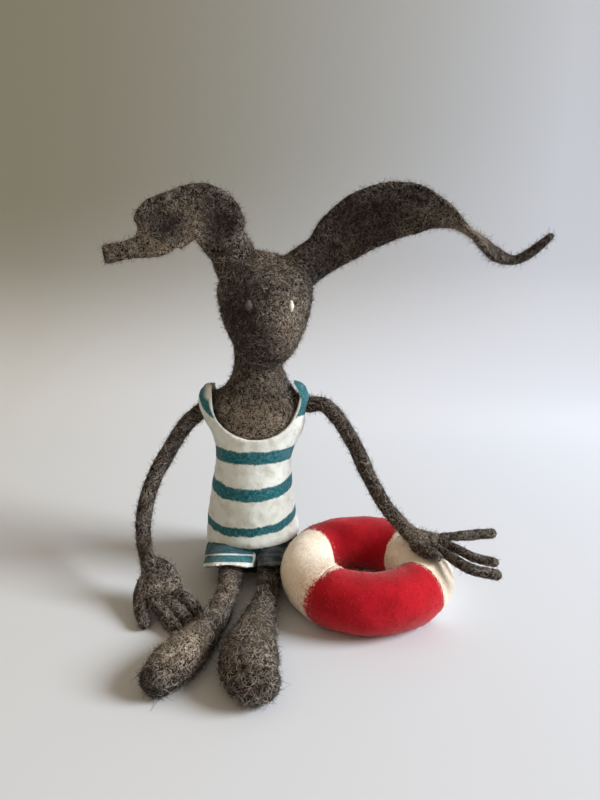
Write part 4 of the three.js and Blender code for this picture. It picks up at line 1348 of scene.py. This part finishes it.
class DOLL_OT_head_and_ears(bpy.types.Operator):
    """Felts the head and both ears in one skin, parted where the ears bend"""

    bl_idname = "doll.head_and_ears"
    bl_label = "Head and ears"

    def execute(self, context):
        head = felted(HEAD, sides=40, cap_most=6)
        ears = [felted(stations, 36, section=ear_section) for stations in EARS.values()]
        whole = mesh_object("head_whole", [head, *ears])
        fused(whole, 0.8, 10)
        lumped(whole, LUMPS, 1)
        paths = {side: FeltPath(EARS[side]) for side in EARS}
        cuts = [
            cut_at(paths["right"], 1.3, 21),
            cut_at(paths["right"], 2.8, 18),
            cut_at(paths["left"], 1.3, 21),
            cut_at(paths["left"], 5.0, 20),
        ]
        names = {
            "head_skin": (8, -3, 170),
            "ear_right_lower": (-17, 1.5, 205),
            "ear_right_flap": (-45, -7, 211),
            "ear_left_lower": (58, 2, 208),
            "ear_left_tip": (115, -8, 207),
        }
        parts = split_at(whole, cuts, names)
        for part in parts.values():
            shaded(part, finish_of("wool"))
            # Paler wool and painted light in the pale patches, painted shade in the dark ones.
            tinted(part, pale=PALE_AND_LIT["head"], dusk=PAINTED_SHADE["head"])
        dressed(parts["head_skin"], 11, rides("head"), ["head"])
        looks = {"density": 1.35, "thickness": 0.85, "lift": 0.65}
        for side, fold in (("right", 5), ("left", 7)):
            path = paths[side]
            root = path.places(1.3, 2.2)
            bend = path.places(fold - 0.5, fold + 0.5)
            lower = parts[f"ear_{side}_lower"]
            upper = parts["ear_right_flap" if side == "right" else "ear_left_tip"]
            base, tip = f"ear_base_{side}", f"ear_tip_{side}"
            dressed(lower, 12, bends("head", base, *root), [base], **looks)
            dressed(upper, 13, bends(base, tip, *bend), [tip], **looks)
        return {"FINISHED"}


class DOLL_OT_eyes(bpy.types.Operator):
    """Sets the two small felt eyes in the head"""

    bl_idname = "doll.eyes"
    bl_label = "Eyes"

    def execute(self, context):
        for side in SIDES:
            low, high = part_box(f"eye_{side}")
            middle = ((low + high) / 2 - SEAT) / MM
            wide, tall, ahead = (2.1, 1.5, 1.2) if side == "right" else (1.6, 2.2, 0.5)
            middle -= Vector((0.6 if side == "left" else 0, ahead, 0))
            stations = [
                [middle.x, middle.y, middle.z - tall, wide * 0.62, 1.3],
                [middle.x, middle.y, middle.z, wide, 2.0],
                [middle.x, middle.y, middle.z + tall, wide * 0.62, 1.3],
            ]
            eye = mesh_object(f"eye_{side}_felt", [felted(stations, 20, step=0.4)])
            lumped(eye, ((1.2, 0.12),), 5)
            shaded(eye, finish_of("eye"))
            # The right eye gets painted shade all over, as it sits in a shaded socket.
            marked(eye, "dusk", np.full(len(eye.data.vertices), 1.0 if side == "right" else 0.0))
            dressed(eye, 14, rides("head"), [f"eye_{side}"], "eye_felt", fuzz=False)
        return {"FINISHED"}


class DOLL_OT_body_and_arms(bpy.types.Operator):
    """Felts the chest, neck, arms and palms in one skin, parted in the middle of each stretch"""

    bl_idname = "doll.body_and_arms"
    bl_label = "Body and arms"

    def execute(self, context):
        # The body starts inside the suit, which hides it below.
        forms = [felted(BODY, 40, start=3.2, flat=(True, False), cap_most=4)]
        forms.append(felted(NECK, 40, flat=(True, True)))
        for side in SIDES:
            forms.append(felted(ARMS[side], 20))
            forms.append(felted(PALMS[side], 24))
        whole = mesh_object("chest_whole", forms)
        fused(whole, 0.8, 8)
        lumped(whole, LUMPS, 2)
        paths = {side: FeltPath(ARMS[side]) for side in ARMS}
        # The station numbers where the upper arm and the forearm are parted.
        middles = {"right": (1.7, 5.3), "left": (2.3, 6.4)}
        cuts = []
        names = {"chest_skin": (2, 2, 105)}
        for side, path in paths.items():
            upper, fore = middles[side]
            cuts += [cut_at(path, station, 9) for station in (0.3, upper, fore)]
            last = len(path.points) - 1
            middle_points = path.places(upper * 0.55, (upper + fore) / 2, last)
            for part, point in zip(("shoulder", "elbow", "hand"), middle_points):
                names[f"{part}_{side}_skin"] = point
        parts = split_at(whole, cuts, names)
        for part in parts.values():
            shaded(part, finish_of("wool"))
            # Paler wool and painted light in the pale patches, painted shade in the dark ones.
            tinted(part, pale=PALE_AND_LIT["body"], dusk=PAINTED_SHADE["body"])
        chest = parts["chest_skin"]
        heights = arrays_of(chest)[0][:, 2]
        marked(chest, "bald", (NECKLINE[2] - heights) / 3)
        dressed(chest, 21, bends("torso", "neck", (2.8, 3, 114), (2.8, 3, 128)), ["torso", "neck"])
        for side, path in paths.items():
            elbow = 3.4 if side == "right" else 4.4
            last = len(path.points) - 1
            names = [f"upper_arm_{side}", f"forearm_{side}", f"palm_{side}"]
            stretches = (
                (f"shoulder_{side}_skin", "torso", names[0], 0.3, 1.0),
                (f"elbow_{side}_skin", names[0], names[1], elbow - 0.5, elbow + 0.5),
                (f"hand_{side}_skin", names[1], names[2], last - 0.5, last),
            )
            for number, (part, first, second, start, stop) in enumerate(stretches):
                fold = bends(first, second, *path.places(start, stop))
                dressed(parts[part], 22 + number, fold, [second])
        return {"FINISHED"}


class DOLL_OT_digits(bpy.types.Operator):
    """Felts the thumb and three fingers of each hand"""

    bl_idname = "doll.digits"
    bl_label = "Thumbs and fingers"

    def execute(self, context):
        for number, (name, stations) in enumerate(DIGITS.items()):
            digit = mesh_object(f"{name}_skin", [felted(stations, 18, step=0.8)])
            lumped(digit, ((6.0, 0.3), (2.2, 0.14)), number)
            rested(digit)
            shaded(digit, finish_of("wool"))
            dressed(digit, 40 + number, rides(name), [name], length=0.55, curl=1.5, lift=0.4)
        return {"FINISHED"}


class DOLL_OT_legs(bpy.types.Operator):
    """Felts the two legs with their club feet"""

    bl_idname = "doll.legs"
    bl_label = "Legs"

    def execute(self, context):
        for number, side in enumerate(SIDES):
            leg = mesh_object(f"leg_{side}_skin", [felted(LEGS[side], 44, step=1.0, cap_most=8)])
            lumped(leg, ((14.0, 0.7), (4.0, 0.25)), 60 + number)
            rested(leg)
            shaded(leg, finish_of("wool"))
            # Paler wool and painted light in the pale patches, painted shade in the dark ones.
            tinted(leg, pale=PALE_AND_LIT["legs"], dusk=PAINTED_SHADE["legs"])
            knee = FeltPath(LEGS[side]).places(1.9, 2.9)
            names = [f"thigh_{side}", f"lower_leg_{side}"]
            dressed(leg, 60 + number, bends(*names, *knee), names)
        return {"FINISHED"}


def prism(name, outline, start, stop, along="Y"):
    """A prism of an outline in X and Z along Y, or in Y and Z along X."""
    count = len(outline)
    if along == "Y":
        points = [(first, end, z) for end in (start, stop) for first, z in outline]
    else:
        points = [(end, first, z) for end in (start, stop) for first, z in outline]
    faces = [tuple(range(count)), tuple(range(2 * count - 1, count - 1, -1))]
    for corner in range(count):
        after = (corner + 1) % count
        faces.append((corner, corner + count, after + count, after))
    piece = mesh_object(name, [(np.array(points), faces)])
    bm = bmesh.new()
    bm.from_mesh(piece.data)
    bmesh.ops.recalc_face_normals(bm, faces=bm.faces)
    bm.to_mesh(piece.data)
    bm.free()
    return piece


def scoop(middle, half, lowest, top, reach=20.0):
    """The outline of a neckline: a U that opens upwards."""
    outline = [(middle - half, top + reach), (middle - half, top)]
    for step in range(1, 24):
        angle = math.pi * step / 24
        across = -half * math.cos(angle)
        fall = math.sin(angle) ** 0.8
        outline.append((middle + across, top - (top - lowest) * fall))
    outline += [(middle + half, top), (middle + half, top + reach)]
    return outline


class DOLL_OT_suit(bpy.types.Operator):
    """Cuts and rounds the felt bathing suit"""

    bl_idname = "doll.suit"
    bl_label = "Bathing suit"

    def execute(self, context):
        sheet = mesh_object("suit", [felted(SUIT, 56, cap_most=3)])
        room = mesh_object("room", [felted(SUIT, 56, grow=-SUIT_THICK, cap_most=3)])
        middle, half, lowest = NECKLINE
        front = prism("front", scoop(middle, half, lowest, NECKLINE_TOP), -60, 2)
        back = prism("back", scoop(middle, half, NECKLINE_BACK, NECKLINE_TOP), 1, 60)
        holes = []
        for side in SIDES:
            x, y, z = SHOULDER[side]
            out = -1 if side == "right" else 1
            hole = [[x - 8 * out, y + 3, z - 2, 6.5, 8], [x + 22 * out, y + 3, z - 2, 6.5, 8]]
            path = [[*station, [0, 1, 0]] for station in hole]
            holes.append(mesh_object("hole", [felted(path, 32, flat=(True, True))]))
        carved(sheet, room, front, back, *holes)
        fused(sheet, 0.8, 3)
        self.folded(sheet)
        self.raised(sheet)
        lumped(sheet, ((16.0, 0.6), (5.0, 0.3)), 3)
        rested(sheet)
        shaded(sheet, finish_of("suit"))
        looks = {"density": 0.22, "length": 0.45, "lift": 0.5}
        dressed(sheet, 31, rides("torso"), ["swimsuit"], "cream_felt", "suit_hair", **looks)
        for side in SIDES:
            self.short_leg(side, SUIT_LEGS[side])
        return {"FINISHED"}

    def short_leg(self, side, stations):
        """Makes one short leg of the suit, a hollow tube whose hem is cut at a slant, with painted shade
        on it.
        """
        tube = mesh_object(f"suit_leg_{side}_felt", [felted(stations, 40, flat=(False, True), cap_most=6)])
        inner = [list(station) for station in stations]
        inner[-1][1] -= 4
        hollow = mesh_object("hollow", [felted(inner[1:], 40, grow=-SUIT_THICK, flat=(True, True))])
        outline = [(HEM_AHEAD + HEM_SLANT * (HEM_HEIGHT - height), height) for height in (-5.0, 40.0)]
        outline += [(-120.0, 40.0), (-120.0, -5.0)]
        carved(tube, hollow, prism("hem", outline, -60, 60, "X"))
        fused(tube, 0.7, 3)
        lumped(tube, ((9.0, 1.2), (4.0, 0.3)), 33)
        points, _ = arrays_of(tube)
        ahead = np.clip((-20.0 - points[:, 1]) / 25.0, 0, 1)
        points[:, 1] -= 3.2 * ((points[:, 0] - stations[-1][0]) / 15.0) ** 2 * ahead
        set_points(tube, points)
        rested(tube)
        shaded(tube, finish_of("suit"))
        # Painted shade: the left leg nearly all over, and the right leg's upper band under the belly.
        shade = 0.93 if side == "left" else 0.5 * np.clip((points[:, 1] + 31.0) / 3.0, 0, 1)
        marked(tube, "dusk", shade + np.zeros(len(points)))
        marked(tube, "shorts", np.ones(len(points)))
        x, y, z = HIP[side]
        fold = bends("torso", f"thigh_{side}", (x, y + 9, z), (x, y - 3, z))
        dressed(tube, 32, fold, [f"suit_leg_{side}"], "cream_felt", fuzz=False)

    def folded(self, sheet):
        """Lets the belly hang over the short legs, marks where its lower edge runs, and paints shade under
        that edge.
        """
        points, _ = arrays_of(sheet)
        across, ahead, height = points.T
        to_side = np.clip(np.abs(across + 1.0) / 30.0, 0, 1)
        hem = 20.0 - np.where(across < 0, 3.0, -1.7) * to_side**2 - 0.03 * np.clip(ahead + 22.0, 0, 60)
        hem = np.clip(hem, 4.0, 24.0)
        outward = np.stack([across + 1.4, ahead - 2.6, 0 * height], axis=1)
        reach = np.linalg.norm(outward, axis=1)
        outer = reach > 19.0
        above = np.exp(-(((height - hem - 3.0) / 3.6) ** 2)) * (1.1 - 0.9 * to_side)
        below = -1.7 * np.clip((hem - height) / 1.2, 0, 1)
        shift = np.where(height > hem, above, below) * outer
        points += outward / np.maximum(reach, 1.0)[:, None] * shift[:, None]
        set_points(sheet, points)
        marked(sheet, "hem", hem / EDGE_SCALE)
        teal = height < hem
        for low, high in TEAL_HEIGHTS:
            teal |= (height > low) & (height < high)
        marked(sheet, "bald", teal)
        # Painted shade under the belly's overhanging edge.
        marked(sheet, "dusk", 0.8 * np.clip((hem - height) / 4.0, 0, 1))

    def raised(self, sheet):
        """Lifts the left strap, which stands higher than the right one."""
        points, _ = arrays_of(sheet)
        share = np.clip((points[:, 2] - 97.0) / 15.0, 0, 1) * np.clip((points[:, 0] - 16.0) / 8.0, 0, 1)
        points[:, 2] += 6.2 * share
        points[:, 0] += 2.0 * share - 5.0 * np.clip((points[:, 2] - 110.0) / 9.0, 0, 1) ** 2 * share
        set_points(sheet, points)


class DOLL_OT_lifebuoy(bpy.types.Operator):
    """Stuffs the felt lifebuoy and parts it into its four stretches"""

    bl_idname = "doll.lifebuoy"
    bl_label = "Lifebuoy"

    def execute(self, context):
        stretches = (
            ("lifebuoy_red_front", -132, -40, "red_felt", "buoy_hair"),
            ("lifebuoy_white_left", -40, 36, "cream_felt", "ring_hair"),
            ("lifebuoy_red_back", 36, 146, "red_felt", "buoy_hair"),
            ("lifebuoy_white_right", 146, 228, "cream_felt", "ring_hair"),
        )
        for number, (name, start, stop, slot, hair) in enumerate(stretches):
            steps = round((stop - start) / 2.2)
            rings = []
            for turn in np.radians(np.linspace(start, stop, steps + 1)):
                cosine, sine = circle_of(72)
                reach = BUOY_MIDDLE_RADIUS - BUOY_TUBE_RADIUS * cosine
                height = BUOY_TUBE_RADIUS - BUOY_SINK + BUOY_TUBE_RADIUS * sine
                ring = np.stack([reach * np.cos(turn), reach * np.sin(turn), height], axis=1)
                rings.append(ring + np.array([*BUOY_AT, 0.0]))
            middles = [rings[0].mean(axis=0), rings[-1].mean(axis=0)]
            piece = mesh_object(f"{name}_felt", [skinned(rings, *middles)])
            lumped(piece, ((15.0, 0.8), (5.0, 0.25)), 7, self.outward(piece))
            rested(piece)
            shaded(piece, finish_of("buoy"))
            self.squared(piece)
            looks = {"density": 0.3, "length": 0.5, "lift": 0.5}
            dressed(piece, 70 + number, rides("lifebuoy"), [name], slot, hair, **looks)
        return {"FINISHED"}

    def outward(self, piece):
        """The directions from the line in the middle of the tube to a piece's points."""
        points, _ = arrays_of(piece)
        from_middle = points - np.array([*BUOY_AT, BUOY_TUBE_RADIUS - BUOY_SINK])
        to_line = unit(from_middle * (1, 1, 0)) * BUOY_MIDDLE_RADIUS
        away = from_middle - to_line
        return away / np.maximum(np.linalg.norm(away, axis=1, keepdims=True), 1.0)

    def squared(self, piece):
        """Shades a stretch's end faces, which are triangles, flat, so that no rim shows at the joint."""
        faces = piece.data.polygons
        faces.foreach_set("use_smooth", [len(face.vertices) > 3 for face in faces])
        piece.data.update()


class DOLL_OT_wires(bpy.types.Operator):
    """Finishes the armature wires"""

    bl_idname = "doll.wires"
    bl_label = "Armature wires"

    def execute(self, context):
        for name, node in frame["nodes"].items():
            if name.startswith("armature_"):
                node.data.materials.clear()
                node.data.materials.append(finish_of("wire"))
        return {"FINISHED"}


class DOLL_OT_stage(bpy.types.Operator):
    """Sets the floor, the backdrop, the light and the camera"""

    bl_idname = "doll.stage"
    bl_label = "Stage"

    def execute(self, context):
        settings = context.scene.doll_stage
        self.backdrop(settings)
        self.light(context, settings)
        self.camera(context)
        return {"FINISHED"}

    def backdrop(self, settings):
        """A floor that curves up into a wall, with painted shade that darkens it towards the left and up
        the wall on the left, and painted light along the bend on the right.
        """
        half, front, back, bend, top = 1500, -900, 420, 170, 1500
        profile = [(front, 0.0), (back - bend, 0.0)]
        for step in range(1, 17):
            angle = math.pi / 2 * step / 16
            profile.append((back - bend + bend * math.sin(angle), bend - bend * math.cos(angle)))
        profile.append((back, top))
        points = []
        for y, z in profile:
            points += [(-half, y, z), (half, y, z)]
        faces = [(2 * i, 2 * i + 1, 2 * i + 3, 2 * i + 2) for i in range(len(profile) - 1)]
        floor = mesh_object("backdrop", [(np.array(points, float), faces)])
        material, recipe, spot = felt_recipe("paper")
        across, _, height = recipe.axes(spot)
        side = ((across + 310.0) / 650.0).clamped()
        rise = ((height - 5.0 - side * 40.0) / (250.0 + side * 70.0)).faded(0.0, 1.0)
        # Painted light where the floor bends up into the wall on the right; painted shade towards the
        # left, where the floor and the wall take their darker colours.
        bend_painted_light = height.faded(0.0, 30.0) * height.faded(150.0, 40.0)
        floor_tone = recipe.mixed(side, tuple(settings.floor_left_painted_shade), tuple(settings.floor))
        near = recipe.mixed(bend_painted_light * side * 0.6, floor_tone, linear(208, 215, 230))
        far = recipe.mixed(side ** 1.8, tuple(settings.wall_left_painted_shade), tuple(settings.wall))
        colour = recipe.mixed(rise, near, far)
        recipe.surface({"Base Color": colour, "Roughness": 0.9})
        shaded(floor, material)

    def light(self, context, settings):
        """A wide soft sun from the right and a warm world, which looks pale grey past the backdrop."""
        data = bpy.data.lights.new("window", "SUN")
        data.energy = settings.key
        data.angle = math.radians(WINDOW_WIDTH)
        data.color = (0.95, 0.98, 1.0)
        lamp = added("window", data)
        lamp.rotation_euler = Vector(WINDOW).to_track_quat("Z", "Y").to_euler()
        world = bpy.data.worlds.new("plain_world")
        world.use_nodes = True
        world.node_tree.nodes.clear()
        recipe = Recipe(world.node_tree)
        room = {"Color": (1.0, 0.8, 0.55, 1.0), "Strength": settings.world}
        lit = recipe.add("ShaderNodeBackground", {}, room, "Background")
        grey = {"Color": (*linear(222, 222, 222), 1.0)}
        seen = recipe.add("ShaderNodeBackground", {}, grey, "Background")
        kinds = ("Camera", "Glossy", "Transmission")
        rays = [recipe.add("ShaderNodeLightPath", {}, {}, f"Is {kind} Ray") for kind in kinds]
        pale = rays[0].at_least(rays[1]).at_least(rays[2])
        both = recipe.add("ShaderNodeMixShader", {}, {0: pale, 1: lit, 2: seen}, "Shader")
        recipe.add("ShaderNodeOutputWorld", {}, {"Surface": both}, None)
        context.scene.world = world

    def camera(self, context):
        """The camera where the photograph was taken from."""
        data = bpy.data.cameras.new("camera")
        data.lens = CAMERA_LENS
        data.sensor_width = CAMERA_SENSOR
        camera = added("camera", data)
        camera.location = place(*CAMERA_AT)
        camera.rotation_euler = (math.radians(90 - CAMERA_TILT), 0, 0)
        context.scene.camera = camera
        context.scene.view_settings.view_transform = "Standard"


PIECES = (
    DOLL_OT_head_and_ears,
    DOLL_OT_eyes,
    DOLL_OT_body_and_arms,
    DOLL_OT_digits,
    DOLL_OT_legs,
    DOLL_OT_suit,
    DOLL_OT_lifebuoy,
    DOLL_OT_wires,
    DOLL_OT_stage,
)


class DOLL_PT_panel(bpy.types.Panel):
    """Lists the doll's pieces in the sidebar"""

    bl_idname = "DOLL_PT_panel"
    bl_label = "Felt doll"
    bl_space_type = "VIEW_3D"
    bl_region_type = "UI"
    bl_category = "Felt doll"

    def draw(self, context):
        for group in SETTINGS:
            held = getattr(context.scene, group)
            for name in held.bl_rna.properties.keys():
                if name not in ("rna_type", "name"):
                    self.layout.prop(held, name)
        for piece in PIECES:
            self.layout.operator(piece.bl_idname)


SETTINGS = {
    "doll_wool": WoolSettings,
    "doll_fuzz": FuzzSettings,
    "doll_suit": SuitSettings,
    "doll_buoy": BuoySettings,
    "doll_stage": StageSettings,
}


def register():
    for group in SETTINGS.values():
        bpy.utils.register_class(group)
    for name, group in SETTINGS.items():
        setattr(bpy.types.Scene, name, PointerProperty(type=group))
    for piece in (*PIECES, DOLL_PT_panel):
        bpy.utils.register_class(piece)


def unregister():
    for piece in reversed((*PIECES, DOLL_PT_panel)):
        bpy.utils.unregister_class(piece)
    for name in SETTINGS:
        delattr(bpy.types.Scene, name)
    for group in reversed(list(SETTINGS.values())):
        bpy.utils.unregister_class(group)


def main():
    register()
    for piece in PIECES:
        group, name = piece.bl_idname.split(".")
        getattr(getattr(bpy.ops, group), name)()


if __name__ == "__main__":
    main()
